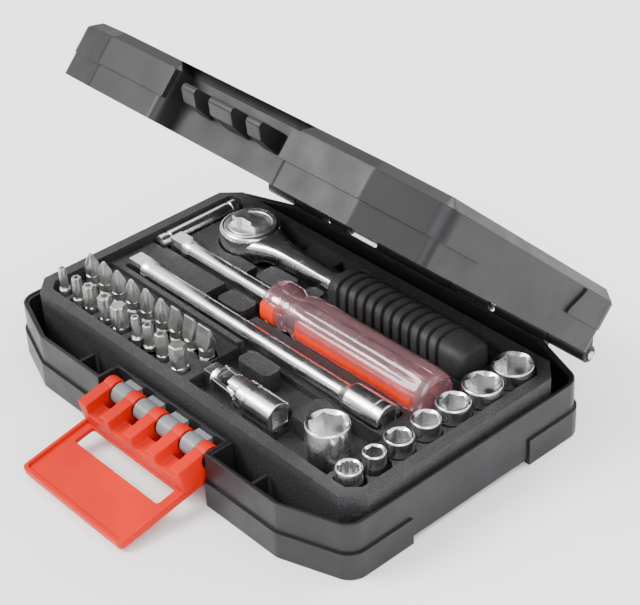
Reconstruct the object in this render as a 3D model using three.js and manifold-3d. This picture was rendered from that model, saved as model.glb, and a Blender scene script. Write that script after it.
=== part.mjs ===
// Socket wrench set in a hinged moulded case: base, lid, latch, tray and the tools it holds.
// Millimetres, +Z up. X runs along the case, -Y is the latch side, and the origin is the middle of
// the underside. The lid stands part open and the latch hangs open.
import * as THREE from "three";
import { mergeVertices } from "three/addons/utils/BufferGeometryUtils.js";
import Module from "manifold-3d";

const wasm = await Module();
wasm.setup();

// ---------- driving dimensions ----------
const caseLength = 190; // X
const caseDepth = 131; // Y
const cornerAlong = 27; // corner cut, along X
const cornerAcross = 9.6; // corner cut, along Y
const shellWall = 2.2;
const baseRise = 23.2; // underside to rim of the base
const lidRise = 23.3; // rim to top of the lid
const partingGap = 0.3; // between the two rims when closed
const baseBelt = 11; // height of the moulded step round the base
const lidBelt = 9; // height of the moulded step above the lid rim
const lidBevel = 3.3; // height of the bevelled band round the lid top
const bevelInset = 4;
const guardProud = 1; // how far the corner guards stand out
const guardReach = 27; // length of a guard along the side walls, past the corner cut
const footRise = 1.2; // the floor of the base stands this far above the feet
const soleLength = 70; // flat pad in the middle of the underside, level with the feet
const soleDepth = 30;
const lidOpening = 43; // degrees between the rims

const recessWidth = 61.4; // latch recess in both front walls
const recessDepth = 9.3;

const hingeBehind = 4; // hinge axis behind the back wall
const barrelRadius = 3.4;
const hingePinRadius = 1.7;
const hingeHalf = 88; // barrel half length
const fit = 0.3; // running clearance between touching pieces

const latchWidth = 59;
const latchPlate = 2; // plate thickness
const latchReach = 43.6; // pivot to tip of the plate
const latchOffset = 6.6; // pivot to inner face of the plate
const latchSlope = 11; // degrees below level, hanging open
const latchPivotHeight = 18;
const clawRadius = 4.6;
const clawToRecess = 0.7; // claws to the recess wall
const latchBarRadius = 1.6;
const windowStart = 14.6; // pivot to near edge of the window
const windowDepth = 8.4;
const windowWidth = 49;
const clawWidth = 5.2;
const notchFloor = -1; // slots between the claws reach down to this level of the block
const clawCount = 5;
const hookHeight = 6;

const trayWall = 1.6;
const trayRimTop = 29; // above the underside
const trayRimWidth = 4.8;
const traySideGap = 0.6; // tray rim to inner face of the lid
const frontWell = 12.9; // front of the case to the tray
const backStrip = 14.9; // tray to the back of the case
const trayFloor = 18; // low level between the tools
const padTop = 26.4;
const socketDeck = 25.5;
const backTerrace = 23.4;

const driveSquare = 6.35; // 1/4 in drive
const bitFlats = 6.35; // 1/4 in hex bits
const bitLength = 25;
const toolGap = 0.5; // tool to its pocket in the tray

// ---------- derived places ----------
const halfLength = caseLength / 2;
const halfDepth = caseDepth / 2;
const lidRim = baseRise + partingGap;
const hingeY = halfDepth + hingeBehind;
const hingeZ = baseRise + partingGap / 2;
const recessFace = -halfDepth + recessDepth;
const trayHalf = halfLength - shellWall - traySideGap;
const trayLow = footRise + shellWall + fit;
const trayFront = -halfDepth + frontWell;
const trayBack = halfDepth - backStrip;
const innerHalf = trayHalf - trayRimWidth;
const innerFront = trayFront + trayRimWidth;
const innerBack = trayBack - trayRimWidth;
// Place across the tray, as a share of its depth from the latch side.
const across = (share) => innerFront + share * (innerBack - innerFront);

// ---------- solids ----------
function solidFrom(geometry) {
  const bare = geometry.index ? geometry.toNonIndexed() : geometry.clone();
  bare.deleteAttribute("normal");
  bare.deleteAttribute("uv");
  const merged = mergeVertices(bare, 1e-4);
  return new wasm.Manifold(
    new wasm.Mesh({
      numProp: 3,
      vertProperties: merged.attributes.position.array,
      triVerts: new Uint32Array(merged.index.array),
    }),
  );
}

function geometryFrom(solid) {
  const mesh = solid.getMesh();
  const points = new Float32Array(mesh.numVert * 3);
  for (let i = 0; i < mesh.numVert; i++)
    for (let k = 0; k < 3; k++)
      points[3 * i + k] = mesh.vertProperties[i * mesh.numProp + k];
  const geometry = new THREE.BufferGeometry();
  geometry.setAttribute("position", new THREE.BufferAttribute(points, 3));
  geometry.setIndex(new THREE.BufferAttribute(mesh.triVerts, 1));
  const flat = geometry.toNonIndexed();
  flat.computeVertexNormals();
  return flat;
}

const join = (...solids) => solids.flat().reduce((a, b) => a.add(b));
const cut = (from, ...tools) =>
  tools.flat().reduce((a, b) => a.subtract(b), from);

function box(x0, x1, y0, y1, z0, z1) {
  const shape = new THREE.BoxGeometry(x1 - x0, y1 - y0, z1 - z0);
  shape.translate((x0 + x1) / 2, (y0 + y1) / 2, (z0 + z1) / 2);
  return solidFrom(shape);
}

// Stack of rings with the same number of [x, y] points, each at its own height, capped at both ends.
function loft(rings) {
  const count = rings[0].points.length;
  const points = rings.flatMap((ring) =>
    ring.points.map(([x, y]) => [x, y, ring.z]),
  );
  const faces = [];
  for (let r = 0; r + 1 < rings.length; r++)
    for (let i = 0; i < count; i++) {
      const j = (i + 1) % count;
      const low = r * count;
      const high = low + count;
      faces.push([low + i, low + j, high + j], [low + i, high + j, high + i]);
    }
  const cap = (ring) =>
    THREE.ShapeUtils.triangulateShape(
      ring.points.map(([x, y]) => new THREE.Vector2(x, y)),
      [],
    );
  const top = (rings.length - 1) * count;
  for (const [a, b, c] of cap(rings[0])) faces.push([c, b, a]);
  for (const [a, b, c] of cap(rings.at(-1)))
    faces.push([top + a, top + b, top + c]);
  const geometry = new THREE.BufferGeometry();
  geometry.setAttribute(
    "position",
    new THREE.Float32BufferAttribute(points.flat(), 3),
  );
  geometry.setIndex(faces.flat());
  return solidFrom(geometry);
}

const prism = (points, z0, z1) =>
  loft([
    { points, z: z0 },
    { points, z: z1 },
  ]);

function ring(radius, sides, turn = 0, x = 0, y = 0) {
  return Array.from({ length: sides }, (_, i) => {
    const a = turn + (2 * Math.PI * i) / sides;
    return [x + radius * Math.cos(a), y + radius * Math.sin(a)];
  });
}

const disc = (x, y, radius, z0, z1, sides = 24) =>
  prism(ring(radius, sides, Math.PI / sides, x, y), z0, z1);

// Regular prism given by its width across flats, with two flats facing +X and -X.
const flatsRadius = (flats, sides) => flats / 2 / Math.cos(Math.PI / sides);
const hexRing = (flats, x, y) =>
  ring(flatsRadius(flats, 6), 6, Math.PI / 6, x, y);
const squareRing = (flats, x, y) =>
  ring(flatsRadius(flats, 4), 4, Math.PI / 4, x, y);

// Turns a solid built along +Z so that it lies along +X, starting at x, on the line (y, z).
function layAlongX(solid, x, y, z) {
  return solid.rotate([0, 90, 0]).translate([x, y, z]);
}

// Turns a solid built along +Z so that it lies along +Y.
function layAlongY(solid, x, y, z) {
  return solid.rotate([-90, 0, 0]).translate([x, y, z]);
}

const rodX = (x0, x1, y, z, radius, sides = 20) =>
  layAlongX(disc(0, 0, radius, 0, x1 - x0, sides), x0, y, z);

// Outline in the YZ plane, drawn as [y, z] points running anticlockwise seen from +X, extruded along X.
function sliceX(points, x0, x1) {
  return prism(points, 0, x1 - x0)
    .rotate([90, 0, 0])
    .rotate([0, 0, 90])
    .translate([x0, 0, 0]);
}

// ---------- case outline ----------
// Plan outline of the case, moved in by inset, with the latch recess in the front.
function caseOutline(inset, recess = recessDepth) {
  const hyp = Math.hypot(cornerAlong, cornerAcross);
  const x = halfLength - inset;
  const y = halfDepth - inset;
  const cutX =
    halfLength - cornerAlong - (inset * (hyp - cornerAlong)) / cornerAcross;
  const cutY =
    halfDepth - cornerAcross - (inset * (hyp - cornerAcross)) / cornerAlong;
  const side = recessWidth / 2 + inset;
  const wall = -halfDepth + recess + inset;
  const front = recess
    ? [
        [-side, -y],
        [-side, wall],
        [side, wall],
        [side, -y],
      ]
    : [];
  return [
    [-x, -cutY],
    [-cutX, -y],
    ...front,
    [cutX, -y],
    [x, -cutY],
    [x, cutY],
    [cutX, y],
    [-cutX, y],
    [-x, cutY],
  ];
}

// Guards stand out from the walls at the four corners and along the front, between two heights.
function guards(z0, z1) {
  const whole = prism(caseOutline(-guardProud, 0), z0, z1);
  const corner = halfDepth - cornerAcross - guardReach;
  const far = halfLength + 2 * guardProud;
  const keep = [-1, 1].flatMap((s) => {
    const xs = (a, b) => [Math.min(s * a, s * b), Math.max(s * a, s * b)];
    return [
      box(...xs(recessWidth / 2, far), -halfDepth - 2, -corner, z0, z1),
      box(...xs(halfLength - cornerAlong, far), corner, halfDepth, z0, z1),
    ];
  });
  return whole.intersect(join(keep));
}

// ---------- hinge between base and lid ----------
// Barrel stretches along X: which shell each belongs to. Gaps stay open between some of them.
const barrels = [
  { of: "lid", from: -hingeHalf, to: -70 - fit },
  { of: "base", from: -70, to: -52 },
  { of: "lid", from: -49, to: -38 },
  { of: "base", from: -21, to: 20 - fit },
  { of: "lid", from: 20, to: 40 },
  { of: "base", from: 43.5, to: 70 - fit },
  { of: "lid", from: 70, to: hingeHalf },
];
const webHeight = 8;

// Barrels of one shell, each with a web back to the shell's wall, and the pin's bore.
function knuckles(shell) {
  const way = shell === "lid" ? 1 : -1;
  const rim = shell === "lid" ? lidRim : baseRise;
  const ends = [rim, rim + way * webHeight].sort((a, b) => a - b);
  return barrels
    .filter((b) => b.of === shell)
    .map(({ from, to }) => {
      const web = sliceX(
        shell === "lid"
          ? [
              [halfDepth - shellWall / 2, ends[0]],
              [hingeY, ends[0]],
              [hingeY, hingeZ + barrelRadius],
              [halfDepth - shellWall / 2, ends[1]],
            ]
          : [
              [halfDepth - shellWall / 2, ends[0]],
              [hingeY, hingeZ - barrelRadius],
              [hingeY, ends[1]],
              [halfDepth - shellWall / 2, ends[1]],
            ],
        from,
        to,
      );
      return join(rodX(from, to, hingeY, hingeZ, barrelRadius), web);
    });
}
const hingeBore = () =>
  rodX(-hingeHalf - 2, hingeHalf + 2, hingeY, hingeZ, hingePinRadius + fit, 16);

// ---------- base ----------
const latchPivotY = recessFace - clawToRecess - clawRadius;
const clawPitch = (latchWidth - clawWidth) / (clawCount - 1);
const clawPlace = (i) => -latchWidth / 2 + clawWidth / 2 + i * clawPitch;
const frontRib = 50; // cross rib in each front well, from the middle

function baseShell() {
  const floor = footRise + shellWall;
  const outer = loft([
    { points: caseOutline(2), z: footRise },
    { points: caseOutline(0.8), z: footRise + 1.6 },
    { points: caseOutline(0), z: baseRise },
  ]);
  const cavity = prism(caseOutline(shellWall), floor, baseRise + 1);
  const feet = guards(0, baseBelt);
  const body = join(
    outer,
    feet,
    box(
      -soleLength / 2,
      soleLength / 2,
      -soleDepth / 2,
      soleDepth / 2,
      0,
      floor - 0.1,
    ),
    ...knuckles("base"),
  );
  const open = cut(body, cavity, hingeBore());
  // knuckles of the latch bar stand between the claws, on the recess wall
  const knuckleWidth = clawPitch - clawWidth - 2 * fit;
  const bars = Array.from({ length: clawCount - 1 }, (_, i) => {
    const x = clawPlace(i) + clawPitch / 2;
    const round = rodX(
      x - knuckleWidth / 2,
      x + knuckleWidth / 2,
      latchPivotY,
      latchPivotHeight,
      clawRadius - 0.4,
    );
    const root = box(
      x - knuckleWidth / 2,
      x + knuckleWidth / 2,
      latchPivotY,
      recessFace + shellWall / 2,
      latchPivotHeight - 3,
      latchPivotHeight + 3,
    );
    return join(round, root);
  });
  const bar = rodX(
    -recessWidth / 2 - shellWall / 2,
    recessWidth / 2 + shellWall / 2,
    latchPivotY,
    latchPivotHeight,
    latchBarRadius,
    16,
  );
  const ribs = [-frontRib, frontRib].map((x) =>
    box(
      x - 0.7,
      x + 0.7,
      -halfDepth + 1,
      trayFront - 1.2,
      floor - 0.1,
      baseRise - 5,
    ).intersect(prism(caseOutline(1), 0, baseRise)),
  );
  return join(open, bars, bar, ribs);
}

// ---------- lid, built closed ----------
const hookPlaces = [
  { x: -17, width: 7 },
  { x: 0, width: 12 },
  { x: 17, width: 7 },
];

function lidShell() {
  const top = lidRim + lidRise;
  const shoulder = top - lidBevel;
  const outer = loft([
    { points: caseOutline(0), z: lidRim },
    { points: caseOutline(0.5), z: shoulder },
    { points: caseOutline(bevelInset, recessDepth - bevelInset + 1), z: top },
  ]);
  const cavity = loft([
    { points: caseOutline(shellWall), z: lidRim - 1 },
    { points: caseOutline(shellWall + 0.5), z: shoulder - 0.6 },
    {
      points: caseOutline(shellWall + bevelInset, recessDepth - bevelInset + 1),
      z: top - shellWall,
    },
  ]);
  const body = join(
    outer,
    guards(lidRim + lidBelt, shoulder - 0.5),
    knuckles("lid"),
  );
  const latchTop = latchPivotHeight + windowStart + windowDepth - fit - 0.3;
  const hookNose = latchPivotY - latchOffset - latchPlate;
  const hooks = hookPlaces.map(({ x, width }) =>
    sliceX(
      [
        [recessFace + 1, latchTop - hookHeight - 1.6],
        [recessFace + 1, latchTop],
        [hookNose, latchTop],
        [hookNose, latchTop - 2.4],
        [hookNose + 4, latchTop - hookHeight],
      ],
      x - width / 2,
      x + width / 2,
    ),
  );
  return join(cut(body, cavity, hingeBore()), hooks);
}

// ---------- latch, built shut: the plate stands upright, the pivot is at 0, 0 ----------
function latchShut() {
  const half = latchWidth / 2;
  const inner = -latchOffset;
  const outer = inner - latchPlate;
  const plate = box(-half, half, outer, inner, 3, latchReach);
  const lipTip = box(
    -half,
    half,
    inner - 0.1,
    inner + 1.2,
    latchReach - 1.6,
    latchReach,
  );
  const lips = [-1, 1].map((s) =>
    box(
      s * half - (s > 0 ? 1.4 : 0),
      s * half + (s > 0 ? 0 : 1.4),
      inner - 0.1,
      inner + 1.2,
      windowStart,
      latchReach,
    ),
  );
  const blockStart = clawRadius + 2.2;
  const block = box(
    -half,
    half,
    inner - 0.1,
    clawRadius - 0.4,
    blockStart,
    windowStart - 0.4,
  );
  // slots in the block carry on the gaps between the claws
  const notches = Array.from({ length: clawCount - 1 }, (_, i) => {
    const x = clawPlace(i) + clawPitch / 2;
    const side = (clawPitch - clawWidth) / 2;
    return box(x - side, x + side, notchFloor, clawRadius, blockStart - 1, windowStart);
  });
  const claws = Array.from({ length: clawCount }, (_, i) => {
    const x0 = clawPlace(i) - clawWidth / 2;
    const x1 = x0 + clawWidth;
    const eye = rodX(x0, x1, 0, 0, clawRadius);
    const arm = box(x0, x1, inner - 0.1, clawRadius - 0.4, 0, blockStart + 0.1);
    return join(eye, arm);
  });
  const slot = box(
    -windowWidth / 2,
    windowWidth / 2,
    outer - 1,
    inner + 1,
    windowStart,
    windowStart + windowDepth,
  );
  const bore = rodX(-half - 1, half + 1, 0, 0, latchBarRadius + fit, 16);
  // mouth of the claws, where they snap over the bar
  const mouth = box(
    -half - 1,
    half + 1,
    -latchBarRadius + 0.3,
    latchBarRadius - 0.3,
    -clawRadius - 1,
    0,
  );
  const whole = join(plate, lipTip, lips, cut(block, notches), claws);
  return cut(whole, slot, bore, mouth);
}

// ---------- tools ----------
const handleLine = { y: across(0.857), z: 27.5 }; // ratchet
const head = { x: 28.4 - innerHalf, radius: 12.5, low: 20, high: 33.4 };
const gripStart = head.x + 53;
const gripEnd = innerHalf - 21.4;
const gripWide = 17;
const gripTall = 16;
const tangRadius = 3.8;
const gearRadius = 8.4;
const gearTeeth = 24;
const gearLow = head.low + 2;
const gearHigh = head.low + 7.4;
const spindleRadius = 5.4;
const dialRadius = 8.8;
const retainerRadius = 10.8;
const retainerHeight = 1.6;
const driveReach = 7.4;

const spinner = {
  y: across(0.611),
  z: 27,
  tip: 8.4 - innerHalf,
  collar: head.x + 42,
  end: innerHalf - 17.4,
  radius: 9.9,
};
const spinnerShank = 3.2;
// orange insert of the handle: its arc, in degrees from the back over the top, and its radii
const core = { from: 150, to: 200, inner: 4.7, outer: 9.5, start: 21, endGap: 5 };
const extension = {
  y: across(0.397),
  z: 26,
  tip: 7.4 - innerHalf,
  cup: innerHalf - 41.4,
  end: innerHalf - 21.8,
};
const extensionRadius = 3.6;
const femaleRadius = 6;
const crossRod = {
  x: 4.2 - innerHalf,
  z: 26,
  front: across(0.558),
  back: across(0.987),
  radius: 3.1,
};
const swivel = {
  y: across(0.122),
  z: 26,
  tip: innerHalf - 88.4,
  pin: innerHalf - 72.2,
  end: innerHalf - 49.8,
};
const swivelRadius = 6;

const socketLine = innerHalf - 8.1;
const socketTop = 32;
const socketLength = 25;
const driveBody = driveSquare / Math.SQRT2 + 0.9; // least outer radius round the drive square
const deep = {
  x: innerHalf - 24.2,
  y: across(0.12),
  radius: 8,
  low: trayLow + 0.1,
  high: 38.4,
  flats: 12,
};
// the row of sockets, from the latch side: outer radius, width across flats and gap to the one before
const socketSizes = [
  { name: "bit_adapter_socket", radius: 5.6, flats: bitFlats + 0.05, gap: 0.2 },
  { name: "socket_1", radius: 4.6, flats: 5.5, gap: 0.6 },
  { name: "socket_2", radius: 5.5, flats: 7, gap: 0.6 },
  { name: "socket_3", radius: 5.5, flats: 8, gap: 1.9 },
  { name: "socket_4", radius: 6.5, flats: 9, gap: 1.4 },
  { name: "socket_5", radius: 7.6, flats: 11, gap: 0.5 },
  { name: "socket_6", radius: 7.7, flats: 12, gap: 0.4 },
];
const sockets = [];
let socketEdge = innerFront;
for (const socket of socketSizes) {
  const widest = Math.max(socket.radius, driveBody);
  sockets.push({ ...socket, y: socketEdge + socket.gap + widest });
  socketEdge += socket.gap + 2 * widest;
}

// places along X, from the left end of the tray
const frontRow = {
  y: across(0.056),
  top: 36.4,
  places: [4.4, 13.8, 21.8, 32, 40.6, 51.2, 58.8, 66.6, 76.6],
  names: [
    "torx_bit_1",
    "torx_bit_2",
    "torx_bit_3",
    "torx_bit_4",
    "torx_bit_5",
    "hex_bit_1",
    "hex_bit_2",
    "hex_bit_3",
    "hex_bit_4",
  ],
  tips: [1.6, 2, 2.5, 2.8, 3.1, 1.7, 2, 2.4, 3.4],
};
const backRow = {
  y: across(0.205),
  top: 36.4,
  places: [4, 12.6, 21.4, 30.2, 39.4, 48.8, 57.4, 66.2, 74.8],
  names: [
    "cross_bit_1",
    "cross_bit_2",
    "cross_bit_3",
    "pozi_bit_1",
    "pozi_bit_2",
    "pozi_bit_3",
    "slot_bit_1",
    "slot_bit_2",
    "slot_bit_3",
  ],
};
const bitShank = 14;
const bitsEnd = gripStart; // right end of the ground that the bits stand in

// ---------- tray ----------
// Every hollow of the tray: its plan outline grown by g, and its floor. The same list makes the
// top face and, grown by the wall, the underside, so the tray is an even skin.
function rect(x0, x1, y0, y1, g, bevel = 1.5) {
  const [a, b, c, d] = [x0 - g, x1 + g, y0 - g, y1 + g];
  const v = bevel + 0.4 * g;
  return [
    [a, c + v],
    [a + v, c],
    [b - v, c],
    [b, c + v],
    [b, d - v],
    [b - v, d],
    [a + v, d],
    [a, d - v],
  ];
}

function trayHollows(g) {
  const t = toolGap;
  const rimFloor = (z) => z - g;
  const row = (bits) =>
    bits.places.map((from) => ({
      outline: hexRing(bitFlats + 2 * t + 2 * g, from - innerHalf, bits.y),
      floor: rimFloor(bits.top - bitLength - t),
    }));
  return [
    // head, neck and grip of the ratchet
    {
      outline: ring(head.radius + t + 0.3 + g, 20, 0, head.x, handleLine.y),
      floor: rimFloor(head.low - t),
    },
    {
      outline: squareRing(13 + 2 * g, head.x, handleLine.y),
      floor: rimFloor(head.low - driveReach - t),
    },
    {
      outline: rect(
        head.x,
        head.x + 25,
        handleLine.y - head.radius + 1,
        handleLine.y + head.radius - 1,
        g,
        3,
      ),
      floor: rimFloor(head.low),
    },
    {
      outline: rect(
        head.x,
        gripStart,
        handleLine.y - 6,
        handleLine.y + 6,
        g,
      ),
      floor: rimFloor(trayFloor),
    },
    {
      outline: rect(
        gripStart - 2,
        gripEnd + 2,
        handleLine.y - gripWide / 2 - 1,
        handleLine.y + gripWide / 2 + 1,
        g,
      ),
      floor: rimFloor(handleLine.z - gripTall / 2 - t),
    },
    // shank and handle of the spinner
    {
      outline: rect(
        spinner.tip - 1,
        spinner.collar,
        spinner.y - spinnerShank - 1.4,
        spinner.y + spinnerShank + 1.4,
        g,
        0.8,
      ),
      floor: rimFloor(spinner.z - spinnerShank - 1.6),
    },
    {
      outline: rect(
        spinner.collar - 2,
        spinner.end + 1.2,
        spinner.y - spinner.radius - 1,
        spinner.y + spinner.radius + 1,
        g,
      ),
      floor: rimFloor(spinner.z - spinner.radius - t),
    },
    // extension bar
    {
      outline: rect(
        extension.tip - 1,
        extension.cup,
        extension.y - extensionRadius - 1,
        extension.y + extensionRadius + 1,
        g,
        0.8,
      ),
      floor: rimFloor(extension.z - extensionRadius - 1.4),
    },
    {
      outline: rect(
        extension.cup - 2,
        extension.end + 1.2,
        extension.y - femaleRadius - 1,
        extension.y + femaleRadius + 1,
        g,
      ),
      floor: rimFloor(extension.z - femaleRadius - t),
    },
    // cross rod
    {
      outline: rect(
        crossRod.x - crossRod.radius - 0.8,
        crossRod.x + crossRod.radius + 0.8,
        crossRod.front - 1,
        crossRod.back + 0.8,
        g,
        0.8,
      ),
      floor: rimFloor(crossRod.z - crossRod.radius - 1.4),
    },
    // swivel joint, with room for its drive end to swing
    {
      outline: rect(
        swivel.tip - 2,
        swivel.end + 1.4,
        swivel.y - swivelRadius - 3.4,
        swivel.y + swivelRadius + 3.4,
        g,
      ),
      floor: rimFloor(swivel.z - swivelRadius - t),
    },
    {
      outline: ring(deep.radius + t + g, 20, 0, deep.x, deep.y),
      floor: rimFloor(deep.low - t),
    },
    // low ground round the deep socket and between the pads
    {
      outline: rect(swivel.end, socketLine - 8, innerFront + 1, deep.y + 18.6, g),
      floor: rimFloor(trayFloor),
    },
    {
      outline: rect(swivel.pin - 23.2, swivel.end + 9.4, swivel.y + 4, extension.y - 4, g),
      floor: rimFloor(trayFloor),
    },
    {
      outline: rect(
        head.x + 17,
        gripStart + 8,
        spinner.y + 2,
        handleLine.y - 4,
        g,
      ),
      floor: rimFloor(trayFloor),
    },
    {
      outline: rect(head.x + 17, head.x + 43, extension.y + 2, spinner.y - 2, g),
      floor: rimFloor(trayFloor),
    },
    {
      outline: rect(head.x + 15, gripStart, handleLine.y + 2, innerBack, g),
      floor: rimFloor(trayFloor + 2),
    },
    // level of the back row of bits
    {
      outline: rect(-innerHalf, bitsEnd, backRow.y - 7, extension.y - 7, g),
      floor: rimFloor(backTerrace),
    },
    ...row(frontRow),
    ...row(backRow),
    ...sockets.map(({ y, radius }) => ({
      outline: ring(Math.max(radius, driveBody) + t + g, 18, 0, socketLine, y),
      floor: rimFloor(socketTop - socketLength - t),
    })),
  ];
}

// Flat-topped pads that keep the tools apart, as [x0, x1, y0, y1].
const pads = [
  [head.x + 23, head.x + 38, extension.y + 5.6, spinner.y - 5.4],
  [head.x + 22, head.x + 38, spinner.y + 5.6, handleLine.y - 7],
  [head.x + 23, head.x + 40, handleLine.y + 7, innerBack + 2],
  [head.x + 44, head.x + 51.5, spinner.y + 11.4, handleLine.y - 5.8],
  [swivel.pin - 15.2, swivel.pin + 1.8, swivel.y + 11.4, extension.y - 6.4],
  [swivel.end + 1.4, swivel.end + 14.8, swivel.y + 3.4, extension.y - 8.4],
];

function trayForm(g) {
  const top = trayRimTop - g;
  const block = prism(
    rect(-trayHalf, trayHalf, trayFront, trayBack, -g, 7),
    trayLow - (g ? 1 : 0),
    top,
  );
  const deck = prism(
    rect(-innerHalf, innerHalf, innerFront, innerBack, g, 4),
    socketDeck - g,
    top + 1,
  );
  const hollows = trayHollows(g).map(({ outline, floor }) =>
    prism(outline, floor, trayRimTop + 2),
  );
  const stands = pads.map(([x0, x1, y0, y1]) =>
    prism(rect(x0, x1, y0, y1, -g, 1.6), trayFloor - 3 * g, padTop - g),
  );
  return join(cut(block, deck, hollows), stands);
}

function trayInsert() {
  return cut(trayForm(0), trayForm(trayWall));
}

// ---------- ratchet ----------
function ratchetBody() {
  const { x, radius, low, high } = head;
  const { y, z } = handleLine;
  const neck = sliceX(
    ring(4.6, 16).map(([a, b]) => [y + a, z + b * 0.9]),
    x + 8,
    gripStart,
  );
  const tang = rodX(gripStart - 1, gripEnd - 8, y, z, tangRadius, 16);
  const shoulder = prism(
    [
      [x + 4, y - radius + 3],
      [x + 24, y - 4.4],
      [x + 24, y + 4.4],
      [x + 4, y + radius - 3],
    ],
    low + 2.6,
    high - 1.6,
  );
  const body = join(disc(x, y, radius, low, high, 32), shoulder, neck, tang);
  return cut(
    body,
    disc(x, y, gearRadius + 0.5, gearLow - fit, high + 1, 32),
    disc(x, y, spindleRadius + fit, low - 1, high),
    disc(x, y, retainerRadius + fit, high - retainerHeight - fit, high + 1, 32),
    box(x - 2.6, x + 2.6, y + 5, y + gearRadius + 2.6, gearLow - fit, gearHigh),
  );
}

function ratchetGear() {
  const teeth = Array.from({ length: gearTeeth * 2 }, (_, i) => {
    const a = (Math.PI * i) / gearTeeth;
    const r = i % 2 ? gearRadius - 0.5 : gearRadius - 1.1;
    return [head.x + r * Math.cos(a), handleLine.y + r * Math.sin(a)];
  });
  return join(
    prism(teeth, gearLow, gearHigh),
    disc(head.x, handleLine.y, spindleRadius, head.low + 0.2, gearLow + 0.1),
    prism(
      squareRing(driveSquare, head.x, handleLine.y),
      head.low - driveReach,
      head.low + 0.3,
    ),
  );
}

function ratchetPawl() {
  const { x } = head;
  const y = handleLine.y + gearRadius;
  return box(x - 2.3, x + 2.3, y, y + 2.2, gearLow, gearHigh - fit);
}

function directionDial() {
  const { x, high } = head;
  const { y } = handleLine;
  const plate = disc(x, y, dialRadius, gearHigh + fit, high - 0.4, 32);
  const web = box(x - 7, x + 7, y - 1.5, y + 1.5, high - 1, high + 2.2);
  const wings = [-1, 1].map((s) =>
    box(
      x + s * 5.8 - 1.2,
      x + s * 5.8 + 1.2,
      y - 3.4,
      y + 3.4,
      high - 1,
      high + 2.2,
    ),
  );
  return join(plate, web, wings);
}

function retainingRing() {
  const { x, high } = head;
  const { y } = handleLine;
  return cut(
    disc(x, y, retainerRadius, high - retainerHeight, high - 0.2, 32),
    disc(x, y, dialRadius + fit, high - 3, high + 1, 32),
  );
}

function ratchetGrip() {
  const { y, z } = handleLine;
  const r = gripWide / 2;
  const section = (k) =>
    [
      [-r, -4.2],
      [-5, -gripTall / 2],
      [5, -gripTall / 2],
      [r, -4.2],
      [r, 4.2],
      [5, gripTall / 2],
      [-5, gripTall / 2],
      [-r, 4.2],
    ].map(([a, b]) => [b * k, a * k]);
  const body = loft([
    { points: section(0.86).reverse(), z: 0 },
    { points: section(1).reverse(), z: 2 },
    { points: section(1).reverse(), z: gripEnd - gripStart - 4 },
    { points: section(0.86).reverse(), z: gripEnd - gripStart },
  ]);
  const bore = rodX(gripStart - 1, gripEnd - 7, y, z, tangRadius + fit, 16);
  const laid = layAlongX(body, gripStart + fit, y, z);
  return cut(laid, bore);
}

// ---------- spinner handle ----------
function spinnerHandle() {
  const { y, z, collar, end, radius } = spinner;
  const r = (k) => ring(radius * k, 20);
  const body = loft([
    { points: r(0.86), z: 0 },
    { points: r(0.94), z: 2 },
    { points: r(0.94), z: 9 },
    { points: r(0.84), z: 12 },
    { points: r(0.84), z: 15 },
    { points: r(1), z: 20 },
    { points: r(1), z: end - collar - 4 },
    { points: r(0.84), z: end - collar },
  ]);
  const bore = rodX(collar - 1, end - 12, y, z, spinnerShank + fit, 16);
  const slot = coreSector(core.inner - fit, radius + 1, core.start - fit, end + 1, fit);
  return cut(layAlongX(body, collar, y, z), bore, slot);
}

// Sector between two radii over the insert's arc, widened by a gap, from the collar's end to x = to.
function coreSector(inner, outer, start, to, gap) {
  const { y, z, collar } = spinner;
  const steps = 6;
  const arc = (r) => {
    const spare = THREE.MathUtils.radToDeg(gap / core.inner);
    return Array.from({ length: steps + 1 }, (_, i) => {
      const share = i / steps;
      const degrees = core.from - spare + share * (core.to - core.from + 2 * spare);
      const a = THREE.MathUtils.degToRad(degrees);
      return [y + r * Math.cos(a), z + r * Math.sin(a)];
    });
  };
  return sliceX([...arc(outer), ...arc(inner).reverse()], collar + start, to);
}

function spinnerCore() {
  return coreSector(core.inner, core.outer, core.start, spinner.end - core.endGap, 0);
}

function spinnerShaft() {
  const { y, z, tip, collar, end } = spinner;
  const square = prism(squareRing(driveSquare - 0.5, 0, 0), 0, 9);
  return join(
    rodX(tip + 8.5, end - 13, y, z, spinnerShank, 16),
    rodX(collar - 3, collar - fit, y, z, spinnerShank + 0.8, 16),
    layAlongX(square, tip, y, z),
  );
}

// ---------- extension bar, cross rod ----------
function extensionBar() {
  const { y, z, tip, cup, end } = extension;
  const square = prism(squareRing(driveSquare, 0, 0), 0, 8.6);
  const body = join(
    layAlongX(square, tip, y, z),
    rodX(tip + 8, cup + 1, y, z, extensionRadius, 20),
    rodX(cup, end, y, z, femaleRadius, 24),
  );
  const hole = prism(squareRing(driveSquare + 0.2, 0, 0), 0, 9);
  return cut(body, layAlongX(hole, end - 8.4, y, z));
}

function tBarRod() {
  const { x, z, front, back, radius } = crossRod;
  return layAlongY(disc(0, 0, radius, 0, back - front, 16), x, front, z);
}

// ---------- swivel joint ----------
// Forks hold the cross: the socket end by its upright trunnions, the drive end by its level ones.
const forkGap = 3.1; // half the opening between a fork's cheeks
const earHalf = 2.4; // half the width of the socket end's cheeks
const crossHalf = 2.7;
const trunnion = 1.3;

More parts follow.
